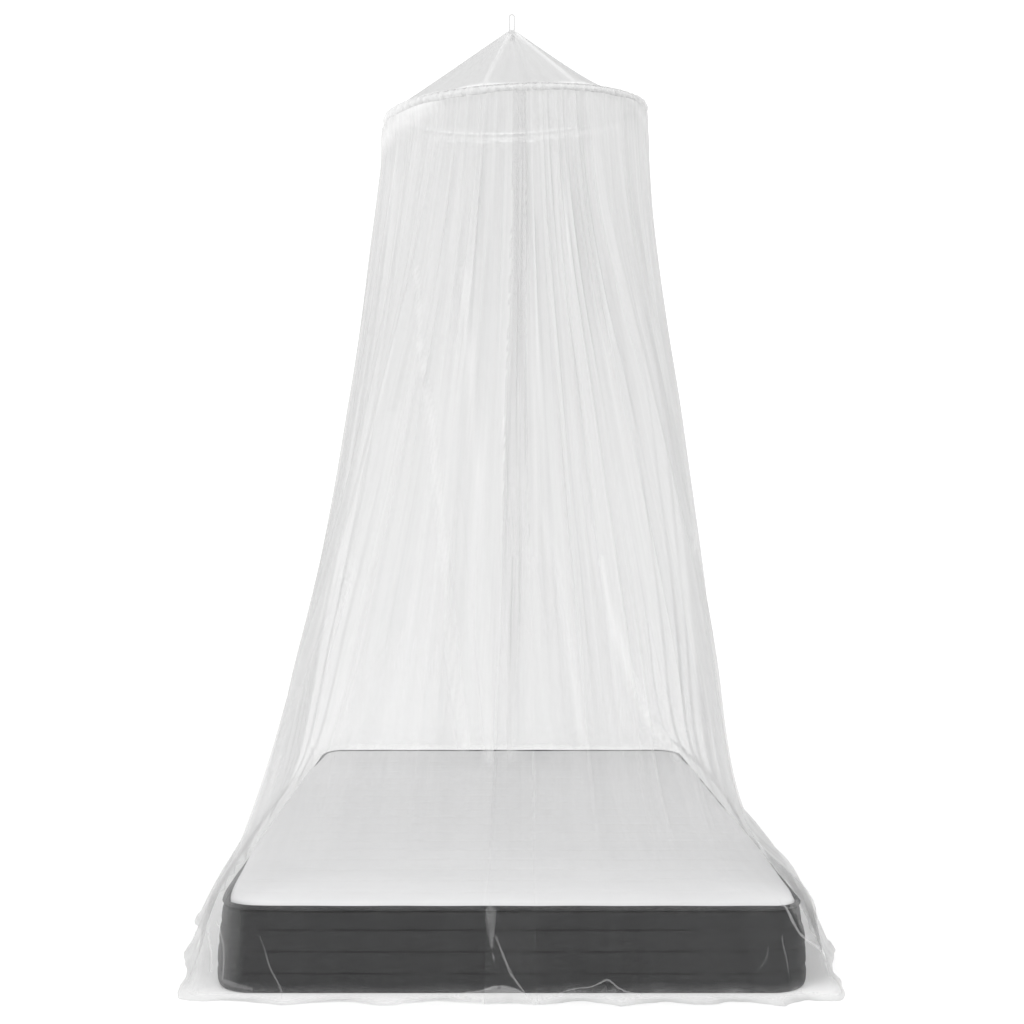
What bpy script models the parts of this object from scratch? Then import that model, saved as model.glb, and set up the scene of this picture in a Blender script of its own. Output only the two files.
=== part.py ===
"""A round mosquito net canopy hung over a mattress.

Metres, +Z up. The origin is on the floor under the middle of the mattress, and the way into
the net faces -Y. A turn is a share of the way round the net: 0 at the front, 0.25 at +X,
0.5 at the back and 0.75 at -X.
"""

import math
from collections import namedtuple

import bmesh
import bpy
from mathutils import Vector

WELD_DISTANCE = 1e-6
SMOOTH_ANGLE = math.radians(40)

# Mattress
MATTRESS_WIDTH = 1.20
MATTRESS_LENGTH = 2.00
MATTRESS_HEIGHT = 0.18
CORNER_RADIUS = 0.07
INNER_CORNER_RADIUS = 0.02
CORNER_STEPS = 7
BORDER_HEIGHT = 0.158
PIPING_RADIUS = 0.0065
PIPING_OVERHANG = 0.001
PIPING_SIDES = 8
PIECE_GAP = 0.0004

# Hoop and the bunched sleeve round it
HOOP_RADIUS = 0.334
HOOP_ROD_RADIUS = 0.004
HOOP_CENTRE = Vector((0.032, 0.0, 2.056))
HOOP_BACK_RISE = 0.028
HOOP_RIGHT_RISE = 0.014
HOOP_STEPS = 56
HOOP_SIDES = 8
HOOP_PLAY = 0.0008
SLEEVE_RADIUS = 0.012
SLEEVE_WRINKLE = 0.0006
SLEEVE_WRINKLE_COUNTS = (11, 17)
SLEEVE_SLIT = math.radians(40)
SLEEVE_SIDES = 8

# Where the sleeve's bunched cloth is fuller: the turn, how far it spreads and by how much.
Swell = namedtuple("Swell", "turn spread amount")
SLEEVE_SWELLS = (
    Swell(0.78, 0.13, 0.010),
    Swell(0.24, 0.07, 0.006),
)

# Net
NET_THICKNESS = 0.0016
SEAM_GAP = 0.0005
EDGE_CLEARANCE = 0.0057
DROP_RADIUS = 0.350
DROP_TOP = 2.015
BELLY_SHARE = 0.5
TURN_STEP = 0.002
WALL_SEAM_ANGLE = math.radians(-30)
CROWN_SEAM_ANGLE = math.radians(90)
LAP_STEP = 0.007
LAP_RAMP_FOLDS = 4
HEM_RISE = 0.012

# Peak, tapes and hanging loop
PEAK = Vector((0.020, 0.0, 2.276))
PEAK_KNOT_RADIUS = 0.0094
PEAK_KNOT_HEIGHT = 0.030
PEAK_KNOT_DROP = 0.010
PEAK_KNOT_SIDES = 16
CROWN_STEPS = 56
CROWN_ROWS = 7
CROWN_SAG = 0.016
CROWN_RIGHT_SAG = 0.012
CROWN_SAG_LOWNESS = 0.6
CROWN_PLEATS = 14
CROWN_PLEAT_DEPTH = 0.0025
TAPE_WIDTH = 0.0065
TAPE_THICKNESS = 0.0012
TAPE_START_GAP = 0.0008
TAPE_PULL = 0.04
TAPE_SEAM_ANGLE = math.radians(130)
TAPE_TURNS = {"front_left": -0.042, "front_right": 0.072, "back_left": 0.593, "back_right": 0.466}
LOOP_HEIGHT = 0.048
LOOP_HALF_WIDTH = 0.0065
LOOP_CORD_RADIUS = 0.0018
LOOP_CORD_ROUNDING = 2
LOOP_BEND_STEPS = 10
LOOP_TAIL = 0.005

# The wall from the seam under the sleeve down to the hem. left and right are how far the
# section has spread on each side, from 0 at the hoop to 1 over the mattress' edge; squareness
# is how boxy that edge line is; bulge is how far the long sides belly out at their middle;
# side and end are how far it stands beyond the mattress; depth is the depth of its folds.
Section = namedtuple("Section", "height left right squareness bulge side end depth")
SECTIONS = (
    Section(1.930, 0.010, 0.000, 16, 0.000, 0.000, 0.000, 0.008),
    Section(1.740, 0.075, 0.045, 16, 0.000, 0.000, 0.000, 0.012),
    Section(1.510, 0.165, 0.150, 16, 0.000, 0.000, 0.000, 0.016),
    Section(1.270, 0.285, 0.285, 16, 0.000, 0.000, 0.000, 0.018),
    Section(1.030, 0.405, 0.400, 16, 0.000, 0.000, 0.000, 0.021),
    Section(0.810, 0.540, 0.505, 16, 0.000, 0.000, 0.000, 0.023),
    Section(0.610, 0.670, 0.585, 16, 0.000, 0.000, 0.000, 0.025),
    Section(0.450, 0.765, 0.640, 16, 0.000, 0.000, 0.000, 0.025),
    Section(0.330, 0.850, 0.710, 16, 0.000, 0.000, 0.000, 0.023),
    Section(0.250, 0.915, 0.800, 18, 0.005, 0.000, 0.000, 0.020),
    Section(0.185, 1.000, 1.000, 22, 0.012, 0.000, 0.000, 0.016),
    Section(0.120, 1.000, 1.000, 20, 0.050, 0.010, 0.010, 0.019),
    Section(0.060, 1.000, 1.000, 16, 0.075, 0.020, 0.020, 0.021),
    Section(0.020, 1.000, 1.000, 18, 0.085, 0.030, 0.030, 0.022),
    Section(0.000, 1.000, 1.000, 22, 0.082, 0.036, 0.038, 0.024),
    Section(0.000, 1.000, 1.000, 22, 0.072, 0.045, 0.052, 0.028),
)
FLOOR_ROWS = 2

# One row for each main fold, from the lap at the front round to it again. top and hem are the
# turns of its crest at the seam and at the hem, depth its share of the section's fold depth,
# pinch how narrow the crest is, and rise how shallow the trough after it is.
Fold = namedtuple("Fold", "top hem depth pinch rise")
FOLDS = (
    Fold(-0.006, -0.008, 0.7, 0.50, 0.80),
    Fold(0.006, 0.008, 0.8, 0.50, 0.10),
    Fold(0.026, 0.033, 1.1, 0.40, 0.25),
    Fold(0.044, 0.055, 0.8, 0.50, 0.10),
    Fold(0.066, 0.074, 1.2, 0.35, 0.00),
    Fold(0.092, 0.0875, 1.2, 0.50, 0.30),
    Fold(0.128, 0.118, 1.2, 0.45, 0.10),
    Fold(0.160, 0.152, 0.8, 0.50, 0.35),
    Fold(0.196, 0.190, 1.3, 0.40, 0.05),
    Fold(0.238, 0.236, 0.9, 0.55, 0.25),
    Fold(0.270, 0.272, 1.1, 0.40, 0.10),
    Fold(0.306, 0.312, 0.8, 0.50, 0.30),
    Fold(0.344, 0.350, 1.2, 0.45, 0.10),
    Fold(0.380, 0.384, 0.9, 0.50, 0.20),
    Fold(0.412, 0.410, 1.2, 0.38, 0.10),
    Fold(0.440, 0.436, 0.8, 0.50, 0.30),
    Fold(0.478, 0.462, 1.1, 0.42, 0.10),
    Fold(0.512, 0.498, 0.9, 0.50, 0.20),
    Fold(0.546, 0.530, 1.2, 0.40, 0.15),
    Fold(0.584, 0.572, 0.9, 0.50, 0.30),
    Fold(0.612, 0.604, 1.1, 0.42, 0.10),
    Fold(0.652, 0.648, 0.8, 0.50, 0.30),
    Fold(0.690, 0.694, 1.2, 0.40, 0.05),
    Fold(0.728, 0.738, 0.9, 0.50, 0.25),
    Fold(0.762, 0.772, 1.1, 0.45, 0.10),
    Fold(0.800, 0.814, 0.8, 0.50, 0.30),
    Fold(0.838, 0.852, 1.2, 0.40, 0.10),
    Fold(0.872, 0.884, 0.9, 0.50, 0.20),
    Fold(0.906, 0.912, 1.0, 0.38, 0.05),
    Fold(0.932, 0.936, 0.9, 0.45, 0.20),
    Fold(0.960, 0.964, 1.1, 0.40, 0.10),
)

# The mattress side and top as stacks of rounded outlines: height, and how far the outline is
# drawn in from the mattress' full width and length. The side is stitched down at 3 heights.
Ring = namedtuple("Ring", "height inset")
BORDER_RINGS = (
    Ring(0.000, 0.016),
    Ring(0.004, 0.007),
    Ring(0.014, 0.002),
    Ring(0.037, 0.0035),
    Ring(0.059, 0.000),
    Ring(0.081, 0.0035),
    Ring(0.102, 0.000),
    Ring(0.122, 0.0035),
    Ring(0.142, 0.001),
    Ring(BORDER_HEIGHT, 0.004),
)
TOP_RINGS = (
    Ring(BORDER_HEIGHT + PIECE_GAP, 0.0130),
    Ring(0.1670, 0.0130),
    Ring(0.1722, 0.018),
    Ring(0.1755, 0.035),
    Ring(0.1780, 0.090),
    Ring(0.1795, 0.220),
    Ring(MATTRESS_HEIGHT, 0.420),
)


def outward(turn):
    """The level direction that points away from the middle at this turn."""
    angle = 2 * math.pi * turn
    return Vector((math.sin(angle), -math.cos(angle), 0))


def material(name, colour, roughness, metallic=0.0):
    made = bpy.data.materials.new(name)
    made.use_nodes = True
    shader = made.node_tree.nodes["Principled BSDF"]
    shader.inputs["Base Color"].default_value = (*colour, 1)
    shader.inputs["Roughness"].default_value = roughness
    shader.inputs["Metallic"].default_value = metallic
    return made


def add_object(name, mesh_builder, finish):
    """A new object that holds what the bmesh was made into."""
    mesh = bpy.data.meshes.new(name)
    mesh_builder.to_mesh(mesh)
    mesh_builder.free()
    mesh.shade_smooth()
    mesh.set_sharp_from_angle(angle=SMOOTH_ANGLE)
    mesh.materials.append(finish)
    made = bpy.data.objects.new(name, mesh)
    bpy.context.scene.collection.objects.link(made)
    return made


def sheet(name, columns, rows, place, finish, closed=False):
    """A cloth of even thickness through place(column, row), joined to a tube where closed."""
    cloth = bmesh.new()
    bmesh.ops.create_grid(cloth, x_segments=columns, y_segments=rows, size=1)
    for vertex in cloth.verts:
        column = round((vertex.co.x + 1) / 2 * columns)
        row = round((vertex.co.y + 1) / 2 * rows)
        vertex.co = place(column % columns if closed else column, row)
    if closed:
        bmesh.ops.remove_doubles(cloth, verts=cloth.verts, dist=WELD_DISTANCE)
    made = add_object(name, cloth, finish)
    thickness = made.modifiers.new("Cloth thickness", "SOLIDIFY")
    thickness.thickness = NET_THICKNESS
    thickness.offset = 0
    return made


def hoop_point(turn):
    """The middle of the hoop's rod at this turn."""
    rise = Vector((0, 0, HOOP_BACK_RISE * outward(turn).y + HOOP_RIGHT_RISE * outward(turn).x))
    return HOOP_CENTRE + HOOP_RADIUS * outward(turn) + rise


def swell(turn, middle, spread):
    """1 at the middle turn, falling away to 0 on both sides."""
    away = (turn - middle + 0.5) % 1 - 0.5
    return math.exp(-((away / spread) ** 2))


def sleeve_radius(turn):
    full = sum(each.amount * swell(turn, each.turn, each.spread) for each in SLEEVE_SWELLS)
    wrinkles = sum(math.sin(2 * math.pi * count * turn) for count in SLEEVE_WRINKLE_COUNTS)
    return SLEEVE_RADIUS + full + SLEEVE_WRINKLE * wrinkles


def sleeve_point(turn, angle, beyond=0.0):
    """A point of the sleeve's cloth, angle up from level; beyond is how far outside it."""
    radius = sleeve_radius(turn)
    hung = radius - HOOP_ROD_RADIUS - NET_THICKNESS / 2 - HOOP_PLAY
    middle = hoop_point(turn) - Vector((0, 0, hung))
    across = outward(turn) * math.cos(angle) + Vector((0, 0, math.sin(angle)))
    return middle + (radius + beyond) * across


def sleeve_place(column, row):
    around = 2 * math.pi - SLEEVE_SLIT
    angle = -math.pi / 2 + SLEEVE_SLIT / 2 + around * row / SLEEVE_SIDES
    return sleeve_point(column / HOOP_STEPS, angle)


def outline_radius(turn, half_width, half_length, squareness):
    """How far a boxy outline is from its middle at this turn."""
    way = outward(turn)
    across = (abs(way.x) / half_width) ** squareness
    along = (abs(way.y) / half_length) ** squareness
    return (across + along) ** (-1 / squareness)


def drop_point(turn, section):
    """The drop without its folds: a circle at the hoop that spreads to the mattress' outline."""
    rightward = min(1, max(0, 0.5 + outward(turn).x))
    reach = section.left + (section.right - section.left) * rightward
    half_width = MATTRESS_WIDTH / 2 + EDGE_CLEARANCE + section.side
    half_length = MATTRESS_LENGTH / 2 + EDGE_CLEARANCE + section.end
    edge = outline_radius(turn, half_width, half_length, section.squareness)
    point = outward(turn) * (DROP_RADIUS + (edge - DROP_RADIUS) * reach)
    belly = section.bulge * max(0, 1 - (point.y / half_length) ** 2)
    point.x += math.copysign(belly, point.x) * min(1, abs(point.x) / (BELLY_SHARE * half_width))
    point.x += HOOP_CENTRE.x * (1 - reach)
    point.z = section.height
    return point


def fold_turn(index, lowness):
    """The turn of a fold's crest, lowness 0 at the seam and 1 at the hem."""
    rounds, place = divmod(index, len(FOLDS))
    fold = FOLDS[place]
    return rounds + fold.top + (fold.hem - fold.top) * lowness


def fold_column(column, lowness):
    """The turn and the share of depth of a column: crest, flank, trough and flank by turns."""
    index, part = divmod(column, 4)
    here, after = FOLDS[index % len(FOLDS)], FOLDS[(index + 1) % len(FOLDS)]
    start = fold_turn(index, lowness)
    gap = fold_turn(index + 1, lowness) - start
    trough = here.rise * min(here.depth, after.depth)
    shares = (0, here.pinch / 2, 0.5, 1 - after.pinch / 2)
    depths = (here.depth, (here.depth + trough) / 2, trough, (after.depth + trough) / 2)
    return start + gap * shares[part], depths[part]


WALL_COLUMNS = 4 * (len(FOLDS) + 1)


def wall_place(column, row):
    """A point of the wall's cloth; row 0 is the hem and the last row is at the sleeve."""
    ramp = max(0, 1 - (WALL_COLUMNS - column) / (4 * LAP_RAMP_FOLDS))
    if row == len(SECTIONS):
        turn, depth = fold_column(column, 0)
        beyond = NET_THICKNESS + SEAM_GAP + depth * SECTIONS[0].depth / 2 + LAP_STEP * ramp
        return sleeve_point(turn, WALL_SEAM_ANGLE, beyond)
    section = SECTIONS[len(SECTIONS) - 1 - row]
    turn, depth = fold_column(column, 1 - section.height / DROP_TOP)
    point = drop_point(turn, section)
    along = drop_point(turn + TURN_STEP, section) - drop_point(turn - TURN_STEP, section)
    away = Vector((along.y, -along.x, 0)).normalized()
    if row < FLOOR_ROWS:
        point.z = NET_THICKNESS / 2 + LAP_STEP * ramp + HEM_RISE * depth * row
        return point + away * depth * section.depth
    return point + away * (depth * section.depth + LAP_STEP * ramp)


def crown_place(column, row):
    """A point of the crown's cloth; row 0 is its rim on the sleeve and the last its peak."""
    turn = column / CROWN_STEPS
    rim = sleeve_point(turn, CROWN_SEAM_ANGLE, NET_THICKNESS + SEAM_GAP)
    neck = PEAK_KNOT_RADIUS + PIECE_GAP + NET_THICKNESS / 2
    top = PEAK + neck * outward(turn)
    share = row / CROWN_ROWS
    middle = math.sin(math.pi * share**CROWN_SAG_LOWNESS)
    loose = 1 - max(swell(turn, taped, TAPE_PULL) for taped in TAPE_TURNS.values())
    pleat = math.sin(2 * math.pi * CROWN_PLEATS * turn) * CROWN_PLEAT_DEPTH * middle
    sag = CROWN_SAG + CROWN_RIGHT_SAG * outward(turn).x
    return rim.lerp(top, share) - Vector((0, 0, sag * middle * loose - pleat))


def add_hoop(finish):
    """A ring of round rod."""
    ring = bmesh.new()
    bmesh.ops.create_grid(ring, x_segments=HOOP_STEPS, y_segments=HOOP_SIDES, size=1)
    for vertex in ring.verts:
        turn = round((vertex.co.x + 1) / 2 * HOOP_STEPS) % HOOP_STEPS / HOOP_STEPS
        side = round((vertex.co.y + 1) / 2 * HOOP_SIDES) % HOOP_SIDES / HOOP_SIDES
        angle = 2 * math.pi * side + math.pi / HOOP_SIDES
        across = outward(turn) * math.cos(angle) + Vector((0, 0, math.sin(angle)))
        vertex.co = hoop_point(turn) + HOOP_ROD_RADIUS * across
    bmesh.ops.remove_doubles(ring, verts=ring.verts, dist=WELD_DISTANCE)
    bmesh.ops.recalc_face_normals(ring, faces=ring.faces)
    return add_object("hoop", ring, finish)


def add_tape(side, turn, finish):
    """A straight narrow tape from the knot at the peak down to the sleeve."""
    start = PEAK + outward(turn) * (PEAK_KNOT_RADIUS + TAPE_START_GAP)
    start.z -= PEAK_KNOT_DROP
    beyond = (NET_THICKNESS + TAPE_THICKNESS) / 2 + SEAM_GAP
    end = sleeve_point(turn, TAPE_SEAM_ANGLE, beyond)
    run = end - start
    strip = bmesh.new()
    bmesh.ops.create_cube(strip, size=1)
    bmesh.ops.scale(strip, verts=strip.verts, vec=(run.length, TAPE_WIDTH, TAPE_THICKNESS))
    bmesh.ops.translate(strip, verts=strip.verts, vec=(run.length / 2, 0, 0))
    made = add_object("tape_" + side, strip, finish)
    made.location = start
    made.rotation_euler = run.to_track_quat("X", "Z").to_euler()
    return made


def add_hanging_loop(finish):
    """A cord folded in two, with its ends in the knot that gathers the net and the tapes."""
    cord = bpy.data.curves.new("hanging_cord", "CURVE")
    cord.dimensions = "3D"
    cord.bevel_depth = LOOP_CORD_RADIUS
    cord.bevel_resolution = LOOP_CORD_ROUNDING
    cord.use_fill_caps = True
    line = cord.splines.new("POLY")
    bend_height = LOOP_HEIGHT - LOOP_HALF_WIDTH - LOOP_CORD_RADIUS
    points = [Vector((-LOOP_HALF_WIDTH, 0, -LOOP_TAIL))]
    for step in range(LOOP_BEND_STEPS + 1):
        angle = math.pi * (1 - step / LOOP_BEND_STEPS)
        bend = Vector((math.cos(angle), 0, math.sin(angle))) * LOOP_HALF_WIDTH
        points.append(Vector((0, 0, bend_height)) + bend)
    points.append(Vector((LOOP_HALF_WIDTH, 0, -LOOP_TAIL)))
    line.points.add(len(points) - 1)
    for point, place in zip(line.points, points):
        point.co = (*place, 1)
    guide = bpy.data.objects.new("hanging_cord_guide", cord)
    bpy.context.scene.collection.objects.link(guide)
    bpy.context.view_layer.update()
    loop_mesh = bmesh.new()
    loop_mesh.from_mesh(guide.to_mesh())
    guide.to_mesh_clear()
    bpy.data.objects.remove(guide)
    bmesh.ops.remove_doubles(loop_mesh, verts=loop_mesh.verts, dist=WELD_DISTANCE)
    bmesh.ops.recalc_face_normals(loop_mesh, faces=loop_mesh.faces)
    cord_part = add_object("hanging_cord_part", loop_mesh, finish)
    cord_part.location = PEAK
    cord_part.hide_render = True
    cord_part.display_type = "WIRE"

    knot = bmesh.new()
    bmesh.ops.create_cone(
        knot,
        cap_ends=True,
        segments=PEAK_KNOT_SIDES,
        radius1=PEAK_KNOT_RADIUS,
        radius2=PEAK_KNOT_RADIUS,
        depth=PEAK_KNOT_HEIGHT,
    )
    bmesh.ops.translate(knot, verts=knot.verts, vec=(0, 0, -PEAK_KNOT_DROP))
    made = add_object("hanging_loop", knot, finish)
    made.location = PEAK
    joined = made.modifiers.new("Cord sewn into the knot", "BOOLEAN")
    joined.operation = "UNION"
    joined.solver = "EXACT"
    joined.object = cord_part
    return made


def rounded_outline(inset):
    """The mattress' outline seen from above, drawn in by inset."""
    radius = max(INNER_CORNER_RADIUS, CORNER_RADIUS - inset)
    half_width = MATTRESS_WIDTH / 2 - inset - radius
    half_length = MATTRESS_LENGTH / 2 - inset - radius
    points = []
    for corner, (side, end) in enumerate(((1, 1), (-1, 1), (-1, -1), (1, -1))):
        middle = Vector((side * half_width, end * half_length, 0))
        for step in range(CORNER_STEPS + 1):
            angle = math.pi / 2 * (corner + step / CORNER_STEPS)
            points.append(middle + radius * Vector((math.cos(angle), math.sin(angle), 0)))
    return points


def add_stack(name, rings, finish):
    """A closed solid through rounded outlines of the mattress, one above the other."""
    stack = bmesh.new()
    edge_loops = []
    for ring in rings:
        corners = [
            stack.verts.new(point + Vector((0, 0, ring.height)))
            for point in rounded_outline(ring.inset)
        ]
        pairs = zip(corners, corners[1:] + corners[:1])
        edge_loops.append([stack.edges.new(pair) for pair in pairs])
    for lower, upper in zip(edge_loops, edge_loops[1:]):
        bmesh.ops.bridge_loops(stack, edges=lower + upper)
    for loop in (edge_loops[0], edge_loops[-1]):
        bmesh.ops.edgeloop_fill(stack, edges=loop)
    bmesh.ops.recalc_face_normals(stack, faces=stack.faces)
    return add_object(name, stack, finish)


def add_piping(finish):
    """The round cord edge that lies on the border, outside the top panel."""
    route = rounded_outline(PIPING_RADIUS - PIPING_OVERHANG)
    height = BORDER_HEIGHT + PIECE_GAP + PIPING_RADIUS
    piping = bmesh.new()
    columns = len(route)
    bmesh.ops.create_grid(piping, x_segments=columns, y_segments=PIPING_SIDES, size=1)
    for vertex in piping.verts:
        column = round((vertex.co.x + 1) / 2 * columns) % columns
        side = round((vertex.co.y + 1) / 2 * PIPING_SIDES) % PIPING_SIDES
        along = route[(column + 1) % columns] - route[column - 1]
        away = Vector((along.y, -along.x, 0)).normalized()
        angle = 2 * math.pi * side / PIPING_SIDES
        across = away * math.cos(angle) + Vector((0, 0, math.sin(angle)))
        vertex.co = route[column] + Vector((0, 0, height)) + PIPING_RADIUS * across
    bmesh.ops.remove_doubles(piping, verts=piping.verts, dist=WELD_DISTANCE)
    bmesh.ops.recalc_face_normals(piping, faces=piping.faces)
    return add_object("mattress_piping", piping, finish)


def build():
    for old in list(bpy.data.objects):
        bpy.data.objects.remove(old)
    net = material("white_net", (0.86, 0.86, 0.86), 0.85)
    tape = material("white_tape", (0.90, 0.90, 0.90), 0.80)
    rod = material("white_rod", (0.82, 0.82, 0.82), 0.45)
    border = material("dark_border_cloth", (0.055, 0.055, 0.057), 0.90)
    piping = material("dark_piping", (0.075, 0.075, 0.078), 0.85)
    top = material("pale_top_cloth", (0.70, 0.70, 0.70), 0.90)

    add_stack("mattress_border", BORDER_RINGS, border)
    add_piping(piping)
    add_stack("mattress_top", TOP_RINGS, top)
    add_hoop(rod)
    sheet("hoop_sleeve", HOOP_STEPS, SLEEVE_SIDES, sleeve_place, net, closed=True)
    sheet("net_wall", WALL_COLUMNS, len(SECTIONS), wall_place, net)
    sheet("net_crown", CROWN_STEPS, CROWN_ROWS, crown_place, net, closed=True)
    for side, turn in TAPE_TURNS.items():
        add_tape(side, turn, tape)
    add_hanging_loop(tape)


build()
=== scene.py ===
"""A round mosquito net canopy hung over a mattress, set up for a studio photograph.

Metres, +Z up, with the floor at z = 0 under the mattress. The way into the net faces -Y. A turn
is a share of the way round the net: 0 at the front, 0.25 at +X, 0.5 at the back, 0.75 at -X.
"""

import math
from collections import namedtuple

import bmesh
import bpy
import numpy as np
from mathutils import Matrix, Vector


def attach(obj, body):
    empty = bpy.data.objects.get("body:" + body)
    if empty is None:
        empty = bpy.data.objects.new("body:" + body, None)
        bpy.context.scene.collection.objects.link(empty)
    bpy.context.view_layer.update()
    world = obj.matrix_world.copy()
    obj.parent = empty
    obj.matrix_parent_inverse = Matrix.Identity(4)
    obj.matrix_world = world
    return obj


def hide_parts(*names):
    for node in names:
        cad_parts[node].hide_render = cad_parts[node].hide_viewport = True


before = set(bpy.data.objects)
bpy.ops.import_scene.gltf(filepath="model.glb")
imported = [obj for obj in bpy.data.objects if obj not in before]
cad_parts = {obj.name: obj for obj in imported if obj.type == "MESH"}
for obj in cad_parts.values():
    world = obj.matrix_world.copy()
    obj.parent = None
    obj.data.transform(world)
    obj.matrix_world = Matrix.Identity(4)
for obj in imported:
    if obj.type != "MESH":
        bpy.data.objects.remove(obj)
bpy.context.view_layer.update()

# ---- Camera ----
# A level camera at the foot of the bed, a little left of its middle, at the height of a
# worktop. The view is shifted a little, as on a cropped picture, so that uprights stay upright.
camera_data = bpy.data.cameras.new("camera")
camera_data.lens = 50.9
camera_data.sensor_width = 36
camera_data.shift_x = 0.0225
camera_data.shift_y = 0.0107
camera = bpy.data.objects.new("camera", camera_data)
camera.location = (-0.042, -3.92, 0.9456)
camera.rotation_euler = (math.radians(90), 0, 0)
bpy.context.scene.collection.objects.link(camera)
bpy.context.scene.camera = camera


# ---- Side of the mattress ----
# Dark knitted cloth laid over the foam and stitched down along three lines, so that it swells
# a little between them. It rolls under at the floor and is drawn in below the corded edge, and
# a band of painted shadow darkens its top just under the corded edge.
MATTRESS_WIDTH = 1.20
MATTRESS_LENGTH = 2.00
CORNER_RADIUS = 0.07
INNER_CORNER_RADIUS = 0.02
CORNER_STEPS = 16
RUN_STEPS = (84, 152)
BORDER_HEIGHT = 0.1625
BORDER_ROWS = 44
BORDER_ROUND = 6.28
BORDER_EASE = 0.0006
# How far the foam stands out low down, its share at the two sides, and where and how it ends.
BORDER_SWELL = 0.014
SWELL_AT_LEFT = 0.1
SWELL_AT_RIGHT = 0.8
SWELL_HEIGHT = 0.150
SWELL_FADE = 0.065
STITCH_LINES = (0.040, 0.084, 0.125)
STITCH_AND_SHADE_WIDTH = 0.0028
STITCH_DEPTH = 0.00231
STITCH_SPREAD = 0.0055
# How the cloth puckers along a line of stitches: how many puckers go round, their depth, shift.
PUCKERS = ((61, 0.30, 0.0), (97, 0.25, 2.0))
SLACK_DEPTH = 0.0008
# How far the cloth is drawn in at the floor and under the corded edge, and over what height.
FLOOR_ROLL = (0.006, 0.0055)
EDGE_ROLL = (0.007, 0.005)
# How far the front left corner is drawn in, over what distance, and from which share up.
CORNER_DRAWN = Vector((0.0105, 0.009, 0.0))
CORNER_DRAWN_SPREAD = 0.10
CORNER_DRAWN_FROM = 0.35


def mattress_outline(inset):
    """Points round the mattress, seen from above and drawn in by inset."""
    radius = max(INNER_CORNER_RADIUS, CORNER_RADIUS - inset)
    half = Vector((MATTRESS_WIDTH / 2 - inset - radius, MATTRESS_LENGTH / 2 - inset - radius))
    signs = ((1, 1), (-1, 1), (-1, -1), (1, -1))
    corners = [Vector((side * half.x, end * half.y, 0)) for side, end in signs]
    points = []
    for number, middle in enumerate(corners):
        for step in range(CORNER_STEPS):
            angle = math.pi / 2 * (number + step / CORNER_STEPS)
            points.append(middle + radius * Vector((math.cos(angle), math.sin(angle), 0)))
        angle = math.pi / 2 * (number + 1)
        start = middle + radius * Vector((math.cos(angle), math.sin(angle), 0))
        run = corners[(number + 1) % 4] - middle
        steps = RUN_STEPS[number % 2]
        points.extend(start + run * step / steps for step in range(steps))
    return points


def outline_normals(points):
    """The level direction out of the mattress at each point of its outline."""
    ways = []
    for number in range(len(points)):
        along = points[(number + 1) % len(points)] - points[number - 1]
        ways.append(Vector((along.y, -along.x, 0)).normalized())
    return ways


def sheet_mesh(columns, rows, place, size, closed=False, closed_rows=False):
    """A grid of cloth through place(column, row), with its flat size as UV in metres."""
    cloth = bmesh.new()
    bmesh.ops.create_grid(cloth, x_segments=columns, y_segments=rows, size=1)
    uv = cloth.loops.layers.uv.new("flat cloth")
    for vertex in cloth.verts:
        column = round((vertex.co.x + 1) / 2 * columns)
        row = round((vertex.co.y + 1) / 2 * rows)
        for loop in vertex.link_loops:
            loop[uv].uv = (size[0] * column / columns, size[1] * row / rows)
        if closed:
            column %= columns
        if closed_rows:
            row %= rows
        vertex.co = place(column, row)
    if closed or closed_rows:
        bmesh.ops.remove_doubles(cloth, verts=cloth.verts, dist=1e-6)
    return cloth


def close_up(shape):
    """Fills the open ends of a solid piece and turns its faces outwards."""
    ends = [edge for edge in shape.edges if edge.is_boundary]
    if ends:
        bmesh.ops.holes_fill(shape, edges=ends, sides=0)
    bmesh.ops.recalc_face_normals(shape, faces=shape.faces)


def add_piece(name, shape, finish, slot, *replaced):
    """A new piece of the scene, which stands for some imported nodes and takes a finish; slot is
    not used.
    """
    mesh = bpy.data.meshes.new(name)
    shape.to_mesh(mesh)
    shape.free()
    mesh.shade_smooth()
    mesh.materials.append(finish)
    piece = bpy.data.objects.new(name, mesh)
    bpy.context.scene.collection.objects.link(piece)
    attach(piece, "root")
    if replaced:
        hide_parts(*replaced)
    return piece


def operator(operation, turned=False):
    """A way to join two values in one node, the other one first where it is turned."""

    def joined(self, other):
        first, second = (other, self) if turned else (self, other)
        return self.node("ShaderNodeMath", {"operation": operation}, {0: first, 1: second})

    return joined


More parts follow.
